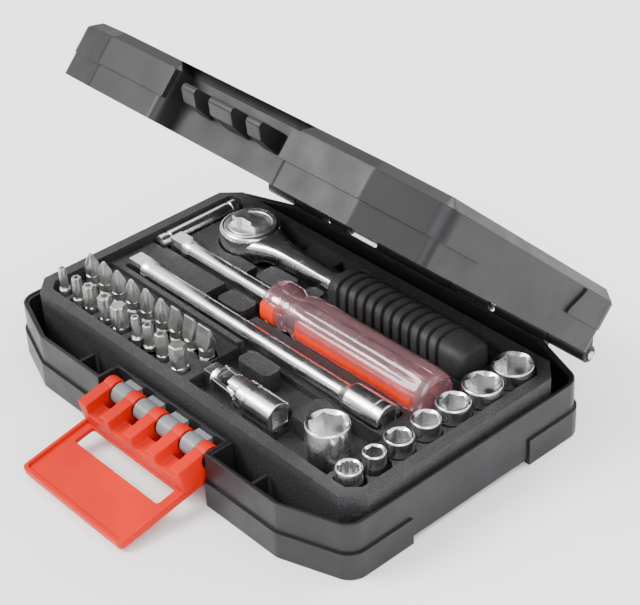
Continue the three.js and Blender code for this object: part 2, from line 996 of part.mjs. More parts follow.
function swivelSocketEnd() {
  const { y, z, pin, end } = swivel;
  const body = rodX(pin - 3, end, y, z, swivelRadius, 24);
  const mouth = box(
    pin - 5,
    pin + 5.6,
    y - swivelRadius - 1,
    y + swivelRadius + 1,
    z - forkGap,
    z + forkGap,
  );
  // the cheeks are narrow, so that the drive end's fork swings past them
  const sides = [-1, 1].map((s) => {
    const edge = [s * earHalf, s * (swivelRadius + 1)].sort((a, b) => a - b);
    return box(pin - 5, pin + 4.4, y + edge[0], y + edge[1], z - 7, z + 7);
  });
  const eye = disc(pin, y, trunnion + fit, z - 9, z + 9, 12);
  const hole = prism(squareRing(driveSquare + 0.2, 0, 0), 0, 10);
  return cut(body, mouth, sides, eye, layAlongX(hole, end - 9, y, z));
}

function swivelCross() {
  const { y, z, pin } = swivel;
  const lateral = forkGap + 1.4;
  return join(
    box(
      pin - crossHalf,
      pin + crossHalf,
      y - crossHalf,
      y + crossHalf,
      z - crossHalf,
      z + crossHalf,
    ),
    disc(pin, y, trunnion, z - 5.2, z + 5.2, 12),
    layAlongY(disc(0, 0, trunnion, 0, 2 * lateral, 12), pin, y - lateral, z),
  );
}

function swivelDriveEnd() {
  const { y, z, tip, pin } = swivel;
  const cheeks = [-1, 1].map((s) => {
    const edge = [s * forkGap, s * (forkGap + 1.8)].sort((a, b) => a - b);
    return box(pin - 9.4, pin + 2.4, y + edge[0], y + edge[1], z - 2.4, z + 2.4);
  });
  const block = join(
    rodX(tip + 6.8, pin - 8.4, y, z, 5, 20),
    layAlongX(prism(squareRing(driveSquare, 0, 0), 0, 8), tip, y, z),
    cheeks,
  );
  const eye = layAlongY(
    disc(0, 0, trunnion + fit, 0, 20, 12),
    pin,
    y - 10,
    z,
  );
  return cut(block, eye);
}

// ---------- sockets ----------
function socketSolid(x, y, radius, flats, low, high) {
  const drive = prism(squareRing(driveSquare + 0.2, x, y), low - 1, low + 9);
  const mouth = prism(hexRing(flats, x, y), high - 12, high + 1);
  const through = disc(x, y, 2, low, high - 6, 12);
  const body = disc(x, y, Math.max(radius, driveBody), low, low + 12, 24).add(
    disc(x, y, radius, low + 11, high, 24),
  );
  return cut(body, drive, mouth, through);
}

// ---------- bits ----------
function bitTip(name, index, x, y, from, to) {
  const kind = name.split("_")[0];
  const bore = (r) => disc(x, y, r, to - 3, to + 1, 8);
  if (kind === "torx") {
    const r = frontRow.tips[index];
    return cut(disc(x, y, r, from, to, 12), bore(r * 0.4));
  }
  if (kind === "hex") {
    const r = frontRow.tips[index];
    const solid = prism(ring(r, 6, 0, x, y), from, to);
    return r < 3 ? cut(solid, bore(r * 0.4)) : solid;
  }
  if (kind === "slot") {
    const half = 2.1 + 0.75 * (index - 6);
    const blade = (w, t) => [
      [x - w, y - t],
      [x + w, y - t],
      [x + w, y + t],
      [x - w, y + t],
    ];
    return loft([
      { points: blade(2.4, 2.4), z: from },
      { points: blade(half, 1.2), z: from + 5 },
      { points: blade(half, 0.5), z: to },
    ]);
  }
  // four-winged pointed tip
  const wings = Array.from({ length: 8 }, (_, i) => (i % 2 ? 0.62 : 1));
  const star = (r) =>
    wings.map((k, i) => {
      const a = (Math.PI * i) / 4;
      return [x + r * k * Math.cos(a), y + r * k * Math.sin(a)];
    });
  return loft([
    { points: star(2.8), z: from },
    { points: star(2.5), z: to - 4.4 },
    { points: star(0.6), z: to },
  ]);
}

function bitSolid(row, index) {
  const x = row.places[index] - innerHalf;
  const bottom = row.top - bitLength;
  const shank = prism(hexRing(bitFlats, x, row.y), bottom, bottom + bitShank);
  const from = bottom + bitShank - 0.1;
  return shank.add(bitTip(row.names[index], index, x, row.y, from, row.top));
}

// ---------- scene ----------
const finish = (color, roughness, metalness) =>
  new THREE.MeshStandardMaterial({ color, roughness, metalness });
const casePlastic = finish(0x3a3a3c, 0.5, 0);
const trayPlastic = finish(0x2c2c2e, 0.8, 0);
const latchPlastic = finish(0xe8482a, 0.4, 0);
const chrome = finish(0xc8c9cb, 0.18, 1);
const bitSteel = finish(0x9a9a9a, 0.35, 1);
const rubber = finish(0x1d1d1f, 0.75, 0);
const clearRed = finish(0xd9868a, 0.15, 0);
const orangePlastic = finish(0xf05a1e, 0.35, 0);

const set = new THREE.Group();

function add(group, name, solid, material) {
  const mesh = new THREE.Mesh(geometryFrom(solid), material);
  mesh.name = name;
  group.add(mesh);
}

add(set, "base_shell", baseShell(), casePlastic);
add(set, "tray_insert", trayInsert(), trayPlastic);
add(
  set,
  "lid_hinge_pin",
  rodX(-hingeHalf - 1, hingeHalf + 1, hingeY, hingeZ, hingePinRadius, 16),
  chrome,
);

const lid = new THREE.Group();
lid.position.set(0, hingeY, hingeZ);
lid.rotation.x = THREE.MathUtils.degToRad(-lidOpening);
add(lid, "lid_shell", lidShell().translate([0, -hingeY, -hingeZ]), casePlastic);
set.add(lid);

const latch = new THREE.Group();
latch.position.set(0, latchPivotY, latchPivotHeight);
latch.rotation.x = THREE.MathUtils.degToRad(90 + latchSlope);
add(latch, "latch", latchShut(), latchPlastic);
set.add(latch);

add(set, "ratchet_body", ratchetBody(), chrome);
add(set, "ratchet_grip", ratchetGrip(), rubber);
add(set, "ratchet_drive_gear", ratchetGear(), chrome);
add(set, "ratchet_pawl", ratchetPawl(), bitSteel);
add(set, "direction_dial", directionDial(), chrome);
add(set, "retaining_ring", retainingRing(), bitSteel);
add(set, "spinner_handle", spinnerHandle(), clearRed);
add(set, "spinner_core", spinnerCore(), orangePlastic);
add(set, "spinner_shank", spinnerShaft(), chrome);
add(set, "extension_bar", extensionBar(), chrome);
add(set, "t_bar_rod", tBarRod(), chrome);
add(set, "swivel_socket_end", swivelSocketEnd(), chrome);
add(set, "swivel_cross", swivelCross(), bitSteel);
add(set, "swivel_drive_end", swivelDriveEnd(), chrome);
add(
  set,
  "deep_socket",
  socketSolid(deep.x, deep.y, deep.radius, deep.flats, deep.low, deep.high),
  chrome,
);
for (const { name, y, radius, flats } of sockets)
  add(
    set,
    name,
    socketSolid(socketLine, y, radius, flats, socketTop - socketLength, socketTop),
    chrome,
  );
for (const row of [frontRow, backRow])
  row.names.forEach((name, i) => add(set, name, bitSolid(row, i), bitSteel));

export default set;
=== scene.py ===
"""Visual model of a socket wrench set in its hinged moulded case.

Every sub-assembly is a class with its sizes as fields, in millimetres, and every piece it makes
rides on the frame body it belongs to.
"""

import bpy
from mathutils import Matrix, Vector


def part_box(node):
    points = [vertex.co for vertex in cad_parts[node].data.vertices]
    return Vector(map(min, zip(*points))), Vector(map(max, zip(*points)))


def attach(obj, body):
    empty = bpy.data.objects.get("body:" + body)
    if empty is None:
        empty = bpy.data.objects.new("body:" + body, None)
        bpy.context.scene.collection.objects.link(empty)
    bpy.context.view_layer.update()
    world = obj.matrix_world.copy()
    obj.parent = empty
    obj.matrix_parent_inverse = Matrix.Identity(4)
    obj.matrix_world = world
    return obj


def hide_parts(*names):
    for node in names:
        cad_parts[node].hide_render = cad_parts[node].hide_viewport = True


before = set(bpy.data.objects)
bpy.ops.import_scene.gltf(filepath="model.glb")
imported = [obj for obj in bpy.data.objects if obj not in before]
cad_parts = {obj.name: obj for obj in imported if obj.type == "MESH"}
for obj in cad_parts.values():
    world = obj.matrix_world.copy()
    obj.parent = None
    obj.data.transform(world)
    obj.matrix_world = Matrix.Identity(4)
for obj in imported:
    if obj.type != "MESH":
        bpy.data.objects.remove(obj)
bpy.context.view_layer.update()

import logging
import math
from contextlib import contextmanager
from dataclasses import dataclass, field
from enum import Enum
from typing import Callable, Iterator, Sequence

import bmesh
import bpy
from mathutils import Matrix, Vector

log = logging.getLogger("socket_set")

MM = 0.001
WELD = 2e-6
TRAY_WELD = 1e-5
ON_AXIS = 1e-7
FAR_AWAY = (9, 9, 9)
Point2 = tuple[float, float]
Point3 = tuple[float, float, float]
Piece = bpy.types.Object


class Body(Enum):
    """Frame bodies that the pieces ride on."""

    BASE = "base"
    LID = "lid"
    LATCH = "latch"
    RATCHET = "ratchet"
    GEAR = "ratchet_gear"
    DIAL = "dial"
    SPINNER = "spinner"
    EXTENSION = "extension"
    T_BAR = "t_bar"
    SWIVEL_SOCKET = "swivel_socket"
    SWIVEL_CROSS = "swivel_cross"
    SWIVEL_DRIVE = "swivel_drive"
    DEEP_SOCKET = "deep_socket"
    SOCKET_ROW = "socket_row"
    BIT_SET = "bit_set"


class Plane(Enum):
    """Plane an outline is drawn in. The value takes (a, b, along) to its X, Y and Z."""

    XY = (0, 1, 2)
    YZ = (2, 0, 1)
    XZ = (0, 2, 1)

    def point(self, a: float, b: float, along: float) -> Point3:
        """Place in space of an outline point.

        Args:
            a: First coordinate in the plane.
            b: Second coordinate in the plane.
            along: Distance along the plane's normal axis.

        Returns:
            The point as X, Y and Z.
        """
        parts = (a, b, along)
        order = self.value
        return (parts[order[0]], parts[order[1]], parts[order[2]])


class Run(Enum):
    """Axis that a turned piece runs along."""

    UP = "z"
    ALONG_X = "x"
    BACK_X = "-x"
    ALONG_Y = "y"

    def matrix(self) -> Matrix:
        """Turn that takes +Z to this axis."""
        if self is Run.ALONG_X:
            return Matrix.Rotation(math.pi / 2, 4, "Y")
        if self is Run.BACK_X:
            return Matrix.Rotation(-math.pi / 2, 4, "Y")
        if self is Run.ALONG_Y:
            return Matrix.Rotation(-math.pi / 2, 4, "X")
        return Matrix.Identity(4)


@dataclass(frozen=True)
class Span:
    """Box of a frame node, in millimetres."""

    low: Vector
    high: Vector

    @property
    def centre(self) -> Vector:
        """Middle of the box."""
        return (self.low + self.high) / 2

    @property
    def size(self) -> Vector:
        """Lengths of the box's sides."""
        return self.high - self.low

    @property
    def left(self) -> Point3:
        """Middle of the box's end at its lowest X."""
        return (self.low.x, self.centre.y, self.centre.z)

    @property
    def right(self) -> Point3:
        """Middle of the box's end at its highest X."""
        return (self.high.x, self.centre.y, self.centre.z)


def span(node: str) -> Span:
    """Box of a frame node at rest.

    Args:
        node: Name of the node.

    Returns:
        Its box in millimetres.
    """
    low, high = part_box(node)
    return Span(low / MM, high / MM)


# ---------------------------------------------------------------- modelling
def focus(piece: Piece) -> None:
    """Make a piece the only selected one, and the active one."""
    bpy.ops.object.select_all(action="DESELECT")
    piece.select_set(True)
    bpy.context.view_layer.objects.active = piece


@contextmanager
def editing(piece: Piece) -> Iterator[None]:
    """Edit mode on one piece, with nothing selected at first.

    Args:
        piece: The mesh object to edit.
    """
    focus(piece)
    bpy.ops.object.mode_set(mode="EDIT")
    bpy.ops.mesh.select_mode(type="VERT")
    bpy.ops.mesh.select_all(action="DESELECT")
    try:
        yield
    finally:
        bpy.ops.object.mode_set(mode="OBJECT")


def select_where(
    kind: str, test: Callable[[bmesh.types.BMFace | bmesh.types.BMEdge], bool]
) -> None:
    """Select the faces or edges of the edited piece that pass a test, and nothing else.

    Args:
        kind: FACE or EDGE.
        test: Says whether a face or an edge is wanted.
    """
    bpy.ops.mesh.select_mode(type=kind)
    bpy.ops.mesh.select_all(action="DESELECT")
    mesh = bmesh.from_edit_mesh(bpy.context.edit_object.data)
    for element in mesh.faces if kind == "FACE" else mesh.edges:
        if test(element):
            element.select_set(True)
    bmesh.update_edit_mesh(bpy.context.edit_object.data)


def upright(edge: bmesh.types.BMEdge) -> bool:
    """Whether an edge runs straight up."""
    a, b = (vert.co for vert in edge.verts)
    return math.hypot(a.x - b.x, a.y - b.y) < 1e-5 and abs(a.z - b.z) > 1e-4


def tidy_normals() -> None:
    """Merge doubles of the edited piece and turn its faces outwards."""
    bpy.ops.mesh.select_all(action="SELECT")
    bpy.ops.mesh.remove_doubles(threshold=WELD)
    bpy.ops.mesh.normals_make_consistent(inside=False)


def start_ring(name: str, points: Sequence[Point3], filled: bool) -> Piece:
    """Circle primitive whose vertices are moved to given points.

    Args:
        name: Name of the piece.
        points: Points round the ring, in millimetres.
        filled: Whether a face closes the ring.

    Returns:
        The new piece.
    """
    bpy.ops.object.select_all(action="DESELECT")
    fill = "NGON" if filled else "NOTHING"
    bpy.ops.mesh.primitive_circle_add(vertices=len(points), fill_type=fill)
    piece = bpy.context.active_object
    piece.name = name
    for vertex, point in zip(piece.data.vertices, points):
        vertex.co = Vector(point) * MM
    return piece


def lofted(
    name: str, sections: Sequence[tuple[Sequence[Point2], float]], plane: Plane = Plane.XY
) -> Piece:
    """Closed solid through sections with the same number of points, each extruded from the last.

    Args:
        name: Name of the piece.
        sections: Outlines and how far along the plane's normal each one lies.
        plane: Plane the outlines are drawn in.

    Returns:
        The new piece.
    """
    rings = [[plane.point(a, b, along) for a, b in outline] for outline, along in sections]
    piece = start_ring(name, rings[0], filled=True)
    with editing(piece):
        select_where("FACE", lambda face: True)
        for last, ring in zip(rings, rings[1:]):
            bpy.ops.mesh.extrude_region_move()
            mesh = bmesh.from_edit_mesh(piece.data)
            corners = [Vector(point) * MM for point in last]
            for vert in [vert for vert in mesh.verts if vert.select]:
                nearest = min(range(len(corners)), key=lambda i: (corners[i] - vert.co).length)
                vert.co = Vector(ring[nearest]) * MM
                corners[nearest] = Vector(FAR_AWAY)
            bmesh.update_edit_mesh(piece.data)
        tidy_normals()
    return piece


def slab(
    name: str,
    outline: Sequence[Point2],
    low: float,
    high: float,
    plane: Plane = Plane.XY,
) -> Piece:
    """Outline extruded between two levels.

    Args:
        name: Name of the piece.
        outline: Points of the outline.
        low: Level of the first face.
        high: Level of the second face.
        plane: Plane the outline is drawn in.

    Returns:
        The new piece.
    """
    return lofted(name, [(outline, low), (outline, high)], plane)


def block(name: str, low: Point3, high: Point3) -> Piece:
    """Cube primitive between two corners.

    Args:
        name: Name of the piece.
        low: Lowest corner.
        high: Highest corner.

    Returns:
        The new piece.
    """
    a, b = Vector(low) * MM, Vector(high) * MM
    bpy.ops.object.select_all(action="DESELECT")
    bpy.ops.mesh.primitive_cube_add(size=1)
    piece = bpy.context.active_object
    piece.name = name
    size = b - a
    place = Matrix.Translation((a + b) / 2) @ Matrix.Diagonal((*size, 1))
    piece.data.transform(place)
    return piece


def settle(piece: Piece, origin: Point3, run: Run) -> Piece:
    """Turn a piece made along +Z to run along an axis, and move it to its origin."""
    piece.data.transform(Matrix.Translation(Vector(origin) * MM) @ run.matrix())
    return piece


def turned(
    name: str,
    profile: Sequence[Point2],
    origin: Point3,
    run: Run = Run.UP,
    steps: int = 48,
) -> Piece:
    """Solid of revolution, spun in edit mode from a profile.

    Args:
        name: Name of the piece.
        profile: Radius and distance along the axis of each corner, in order.
        origin: Point on the axis where distances start.
        run: Axis that the piece runs along.
        steps: Faces round it.

    Returns:
        The new piece.
    """
    piece = start_ring(name, [(radius, 0.0, along) for radius, along in profile], filled=False)
    with editing(piece):
        if profile[0][0] == 0 and profile[-1][0] == 0:
            select_where("EDGE", lambda e: all(abs(vert.co.x) < ON_AXIS for vert in e.verts))
            bpy.ops.mesh.delete(type="EDGE_FACE")
        bpy.ops.mesh.select_all(action="SELECT")
        bpy.ops.mesh.spin(steps=steps, angle=2 * math.pi, center=(0, 0, 0), axis=(0, 0, 1))
        tidy_normals()
    return settle(piece, origin, run)


def turned_along(node: Span, profile: Sequence[Point2], name: str, steps: int = 48) -> Piece:
    """Turned piece on the long axis of a frame node that runs along X.

    Args:
        node: Box of the node.
        profile: Radius and distance from the node's low end.
        name: Name of the piece.
        steps: Faces round it.

    Returns:
        The new piece.
    """
    return turned(name, profile, node.left, Run.ALONG_X, steps)


def apply_modifier(piece: Piece, kind: str, **settings: object) -> None:
    """Add a modifier to a piece and apply it.

    Args:
        piece: The piece.
        kind: Modifier type.
        settings: Values of its properties.
    """
    modifier = piece.modifiers.new(kind.lower(), kind)
    for key, value in settings.items():
        setattr(modifier, key, value)
    focus(piece)
    bpy.ops.object.modifier_apply(modifier=modifier.name)


def combine(piece: Piece, others: Sequence[Piece], operation: str) -> Piece:
    """Boolean of a piece with others, which are used up.

    Args:
        piece: The piece that stays.
        others: The pieces it is combined with.
        operation: DIFFERENCE, UNION or INTERSECT.

    Returns:
        The first piece.
    """
    for other in others:
        apply_modifier(piece, "BOOLEAN", object=other, operation=operation, solver="EXACT")
        bpy.data.objects.remove(other)
    return piece


def cut(piece: Piece, *cutters: Piece) -> Piece:
    """Take the cutters out of a piece."""
    return combine(piece, cutters, "DIFFERENCE")


def fuse(piece: Piece, *others: Piece) -> Piece:
    """Melt the others into a piece."""
    return combine(piece, others, "UNION")


def gather(piece: Piece, *others: Piece) -> Piece:
    """Join closed meshes into one object without melting them.

    Args:
        piece: The piece that stays.
        others: The pieces joined to it.

    Returns:
        The first piece.
    """
    focus(piece)
    for other in others:
        other.select_set(True)
    bpy.ops.object.join()
    return piece


def soften(piece: Piece, width: float, segments: int = 2, above: float = 32) -> Piece:
    """Round the edges of a piece that are sharper than an angle.

    Args:
        piece: The piece.
        width: Width of the rounding.
        segments: Faces across it.
        above: Least angle that counts as sharp, in degrees.

    Returns:
        The same piece.
    """
    apply_modifier(
        piece,
        "BEVEL",
        width=width * MM,
        segments=segments,
        limit_method="ANGLE",
        angle_limit=math.radians(above),
        miter_outer="MITER_ARC",
    )
    return piece


def polish(piece: Piece, angle: float = 32) -> Piece:
    """Shade a piece smooth where its faces meet at a small angle, with its flat faces kept flat.

    Args:
        piece: The piece.
        angle: Greatest angle that is shaded smooth, in degrees.

    Returns:
        The same piece.
    """
    focus(piece)
    bpy.ops.object.shade_smooth_by_angle(angle=math.radians(angle))
    apply_modifier(piece, "WEIGHTED_NORMAL", keep_sharp=True)
    return piece


def copied(piece: Piece, name: str, offset: Point3) -> Piece:
    """Copy of a piece with its own mesh, moved by an offset.

    Args:
        piece: The piece to copy.
        name: Name of the copy.
        offset: How far the copy is moved.

    Returns:
        The copy.
    """
    focus(piece)
    bpy.ops.object.duplicate(linked=False)
    twin = bpy.context.active_object
    twin.name = name
    twin.data.transform(Matrix.Translation(Vector(offset) * MM))
    return twin


def swing(piece: Piece, degrees: float, y: float, z: float) -> Piece:
    """Turn a piece about a line along X.

    Args:
        piece: The piece.
        degrees: Angle, right-handed about +X.
        y: Y of the line.
        z: Z of the line.

    Returns:
        The same piece.
    """
    pivot = Vector((0, y, z)) * MM
    turn = Matrix.Rotation(math.radians(degrees), 4, "X")
    piece.data.transform(Matrix.Translation(pivot) @ turn @ Matrix.Translation(-pivot))
    return piece


# ---------------------------------------------------------------- outlines
def round_outline(x: float, y: float, radius: float, points: int, turn: float = 0) -> list[Point2]:
    """Points evenly round a circle.

    Args:
        x: Centre, first coordinate.
        y: Centre, second coordinate.
        radius: Radius of the circle.
        points: Number of points.
        turn: Angle of the first point, in degrees.

    Returns:
        The outline.
    """
    start = math.radians(turn)
    angles = [start + 2 * math.pi * i / points for i in range(points)]
    return [(x + radius * math.cos(a), y + radius * math.sin(a)) for a in angles]


def flats_outline(x: float, y: float, flats: float, sides: int) -> list[Point2]:
    """Regular polygon with a flat facing +X, sized across its flats.

    Args:
        x: Centre, first coordinate.
        y: Centre, second coordinate.
        flats: Width across flats.
        sides: Number of sides, which is even.

    Returns:
        The outline.
    """
    radius = flats / 2 / math.cos(math.pi / sides)
    return round_outline(x, y, radius, sides, 180 / sides)


def star_outline(
    x: float, y: float, tip: float, waist: float, lobes: int, soft: float = 0.5, turn: float = 0
) -> list[Point2]:
    """Lobed outline that swells and narrows smoothly.

    Args:
        x: Centre, first coordinate.
        y: Centre, second coordinate.
        tip: Radius at the lobes.
        waist: Radius between them.
        lobes: Number of lobes.
        soft: Power of the wave, below one for broad lobes.
        turn: Angle of the first lobe, in degrees.

    Returns:
        The outline, with eight points to a lobe.
    """
    count = lobes * 8
    outline = []
    for i in range(count):
        a = 2 * math.pi * i / count
        wave = (0.5 + 0.5 * math.cos(lobes * a)) ** soft
        radius = waist + (tip - waist) * wave
        angle = a + math.radians(turn)
        outline.append((x + radius * math.cos(angle), y + radius * math.sin(angle)))
    return outline


def corner_outline(
    x0: float, x1: float, y0: float, y1: float, radius: float, steps: int = 4
) -> list[Point2]:
    """Rectangle with rounded corners.

    Args:
        x0: Lowest first coordinate.
        x1: Highest first coordinate.
        y0: Lowest second coordinate.
        y1: Highest second coordinate.
        radius: Corner radius.
        steps: Faces round a corner.

    Returns:
        The outline.
    """
    middles = [(x1 - radius, y1 - radius), (x0 + radius, y1 - radius)]
    middles += [(x0 + radius, y0 + radius), (x1 - radius, y0 + radius)]
    outline = []
    for quarter, (x, y) in enumerate(middles):
        for i in range(steps + 1):
            a = math.pi / 2 * (quarter + i / steps)
            outline.append((x + radius * math.cos(a), y + radius * math.sin(a)))
    return outline


def oval_outline(
    x: float, y: float, half_x: float, half_y: float, power: float, points: int
) -> list[Point2]:
    """Oval with flattened sides.

    Args:
        x: Centre, first coordinate.
        y: Centre, second coordinate.
        half_x: Half its width.
        half_y: Half its height.
        power: One for an ellipse, less for flatter sides.
        points: Number of points.

    Returns:
        The outline.
    """
    outline = []
    for a in (math.radians(360 * i / points) for i in range(points)):
        c, s = math.cos(a), math.sin(a)
        across = half_x * math.copysign(abs(c) ** power, c)
        outline.append((x + across, y + half_y * math.copysign(abs(s) ** power, s)))
    return outline


def pin_profile(radius: float, start: float, end: float, edge: float) -> list[Point2]:
    """Profile of a round pin whose ends are chamfered by an edge."""
    return [
        (0, start), (radius - edge, start), (radius, start + edge), (radius, end - edge),
        (radius - edge, end), (0, end),
    ]


# ---------------------------------------------------------------- finishes
class NodeSheet:
    """Node tree of one material, with short calls to add and link nodes."""

    def __init__(self, name: str) -> None:
        """Start a material with a principled shader.

        Args:
            name: Name of the material.
        """
        self.material = bpy.data.materials.new(name)
        self.material.use_nodes = True
        self.tree = self.material.node_tree
        self.shader = self.tree.nodes["Principled BSDF"]
        self.place = self.tree.nodes.new("ShaderNodeTexCoord").outputs["Object"]

    def noise(self, per_metre: float, detail: float = 3, stretch: Point3 = (1, 1, 1)) -> object:
        """Noise over the piece's own place.

        Args:
            per_metre: Spots to a metre.
            detail: Octaves of detail.
            stretch: Scale of the pattern on each axis.

        Returns:
            The noise value socket.
        """
        mapping = self.tree.nodes.new("ShaderNodeMapping")
        mapping.inputs["Scale"].default_value = stretch
        node = self.tree.nodes.new("ShaderNodeTexNoise")
        node.inputs["Scale"].default_value = per_metre
        node.inputs["Detail"].default_value = detail
        self.tree.links.new(self.place, mapping.inputs["Vector"])
        self.tree.links.new(mapping.outputs["Vector"], node.inputs["Vector"])
        return node.outputs["Fac"]

    def cells(self, per_metre: float) -> object:
        """Distance to the nearest of many scattered points, for a stipple.

        Args:
            per_metre: Points to a metre.

        Returns:
            The distance socket.
        """
        node = self.tree.nodes.new("ShaderNodeTexVoronoi")
        node.inputs["Scale"].default_value = per_metre
        self.tree.links.new(self.place, node.inputs["Vector"])
        return node.outputs["Distance"]

    def spread(self, value: object, low: float, high: float, ends: Point2 = (0.3, 0.7)) -> object:
        """Value stretched from a range to another.

        Args:
            value: Socket to read.
            low: Result at the first end.
            high: Result at the second end.
            ends: Values that give the two results.

        Returns:
            The result socket.
        """
        node = self.tree.nodes.new("ShaderNodeMapRange")
        node.inputs["From Min"].default_value = ends[0]
        node.inputs["From Max"].default_value = ends[1]
        node.inputs["To Min"].default_value = low
        node.inputs["To Max"].default_value = high
        self.tree.links.new(value, node.inputs["Value"])
        return node.outputs["Result"]

    def colours(self, value: object, first: Point3, second: Point3) -> None:
        """Base colour that runs between two colours.

        Args:
            value: Socket that picks the place between them.
            first: Colour at 0.35.
            second: Colour at 0.65.
        """
        ramp = self.tree.nodes.new("ShaderNodeValToRGB")
        ramp.color_ramp.elements[0].position = 0.35
        ramp.color_ramp.elements[0].color = (*first, 1)
        ramp.color_ramp.elements[1].position = 0.65
        ramp.color_ramp.elements[1].color = (*second, 1)
        self.tree.links.new(value, ramp.inputs["Fac"])
        self.tree.links.new(ramp.outputs["Color"], self.shader.inputs["Base Color"])

    def roughness(self, value: object, low: float, high: float) -> None:
        """Roughness that follows a value between two limits."""
        self.tree.links.new(self.spread(value, low, high), self.shader.inputs["Roughness"])

    def bump(self, value: object, height: float, strength: float, under: object = None) -> object:
        """Bump from a value.

        Args:
            value: Height socket.
            height: Depth of the relief, in millimetres.
            strength: Strength of the bump.
            under: Normal socket of a coarser bump below it.

        Returns:
            The normal socket, which is also linked to the shader.
        """
        node = self.tree.nodes.new("ShaderNodeBump")
        node.inputs["Strength"].default_value = strength
        node.inputs["Distance"].default_value = height * MM
        self.tree.links.new(value, node.inputs["Height"])
        if under is not None:
            self.tree.links.new(under, node.inputs["Normal"])
        self.tree.links.new(node.outputs["Normal"], self.shader.inputs["Normal"])
        return node.outputs["Normal"]

    def set(self, **values: float) -> None:
        """Set shader sockets, named with underscores for spaces."""
        for key, value in values.items():
            self.shader.inputs[key.replace("_", " ")].default_value = value


def shade(colour: Point3, factor: float) -> Point3:
    """Colour made lighter or darker by a factor."""
    return (colour[0] * factor, colour[1] * factor, colour[2] * factor)


@dataclass(frozen=True)
class Finish:
    """Name, main colour and material slot that every finish has."""

    name: str
    colour: Point3
    slot: str

    def material(self) -> bpy.types.Material:
        """Build the material."""
        raise NotImplementedError


@dataclass(frozen=True)
class MouldedPlastic(Finish):
    """Opaque moulded plastic with a fine grain and faint flow marks."""

    gloss: Point2 = (0.38, 0.52)
    grain: float = 1500
    relief: float = 0.05
    strength: float = 0.25
    specular: float = 0.5

    def material(self) -> bpy.types.Material:
        """Build the material."""
        sheet = NodeSheet(self.name)
        sheet.set(Specular_IOR_Level=self.specular)
        flow = sheet.noise(26, 4)
        sheet.colours(flow, shade(self.colour, 0.86), shade(self.colour, 1.14))
        sheet.roughness(sheet.noise(90, 3), *self.gloss)
        broad = sheet.bump(sheet.noise(14, 2), 0.25, 0.10)
        sheet.bump(sheet.noise(self.grain, 2), self.relief, self.strength, broad)
        return sheet.material


@dataclass(frozen=True)
class StippledPlastic(Finish):
    """Black tray plastic with a coarse spark-eroded stipple, and painted highlights of the stipple
    as bright specks in its colour.
    """

    gloss: Point2 = (0.3, 0.46)
    stipple: float = 1900

    def material(self) -> bpy.types.Material:
        """Build the material."""
        sheet = NodeSheet(self.name)
        # Painted highlight: noise runs the colour from half to over three times the black, so the
        # bright specks stand in for glints on the stipple's grain.
        sheet.colours(sheet.noise(self.stipple, 3), shade(self.colour, 0.5), shade(self.colour, 3.2))
        sheet.roughness(sheet.noise(240, 2), *self.gloss)
        grain = sheet.bump(sheet.cells(self.stipple), 0.3, 0.95)
        sheet.bump(sheet.noise(self.stipple * 1.7, 3), 0.14, 0.8, grain)
        return sheet.material


@dataclass(frozen=True)
class PlatedSteel(Finish):
    """Bright nickel-chrome plating with light smudges and hairlines."""

    gloss: Point2 = (0.08, 0.2)

    def material(self) -> bpy.types.Material:
        """Build the material."""
        sheet = NodeSheet(self.name)
        sheet.set(Metallic=1.0)
        sheet.colours(sheet.noise(40, 3), shade(self.colour, 0.93), self.colour)
        sheet.roughness(sheet.noise(120, 4), *self.gloss)
        waves = sheet.bump(sheet.noise(160, 2), 0.02, 0.12)
        sheet.bump(sheet.noise(2400, 2), 0.004, 0.12, waves)
        return sheet.material


@dataclass(frozen=True)
class GroundSteel(Finish):
    """Satin tool steel with fine lengthwise grinding marks."""

    gloss: Point2 = (0.26, 0.42)

    def material(self) -> bpy.types.Material:
        """Build the material."""
        sheet = NodeSheet(self.name)
        sheet.set(Metallic=1.0)
        sheet.colours(sheet.noise(210, 4), shade(self.colour, 0.75), shade(self.colour, 1.2))
        sheet.roughness(sheet.noise(300, 3), *self.gloss)
        sheet.bump(sheet.noise(1800, 3, (1, 1, 0.08)), 0.02, 0.25)
        return sheet.material


@dataclass(frozen=True)
class GripRubber(Finish):
    """Matt black rubber with a dusty bloom."""

    gloss: Point2 = (0.42, 0.6)

    def material(self) -> bpy.types.Material:
        """Build the material."""
        sheet = NodeSheet(self.name)
        sheet.colours(sheet.noise(70, 5), shade(self.colour, 0.8), shade(self.colour, 1.6))
        sheet.roughness(sheet.noise(160, 3), *self.gloss)
        sheet.bump(sheet.noise(1900, 2), 0.05, 0.3)
        return sheet.material


@dataclass(frozen=True)
class ClearPlastic(Finish):
    """Clear tinted cellulose handle."""

    clearness: float = 0.6
    gloss: Point2 = (0.07, 0.16)

    def material(self) -> bpy.types.Material:
        """Build the material."""
        sheet = NodeSheet(self.name)
        sheet.set(Transmission_Weight=self.clearness, IOR=1.48, Coat_Weight=0.5)
        sheet.set(Coat_Roughness=0.05)
        sheet.colours(sheet.noise(55, 3), shade(self.colour, 0.9), shade(self.colour, 1.08))
        sheet.roughness(sheet.noise(80, 3), *self.gloss)
        sheet.bump(sheet.noise(130, 3), 0.08, 0.15)
        return sheet.material


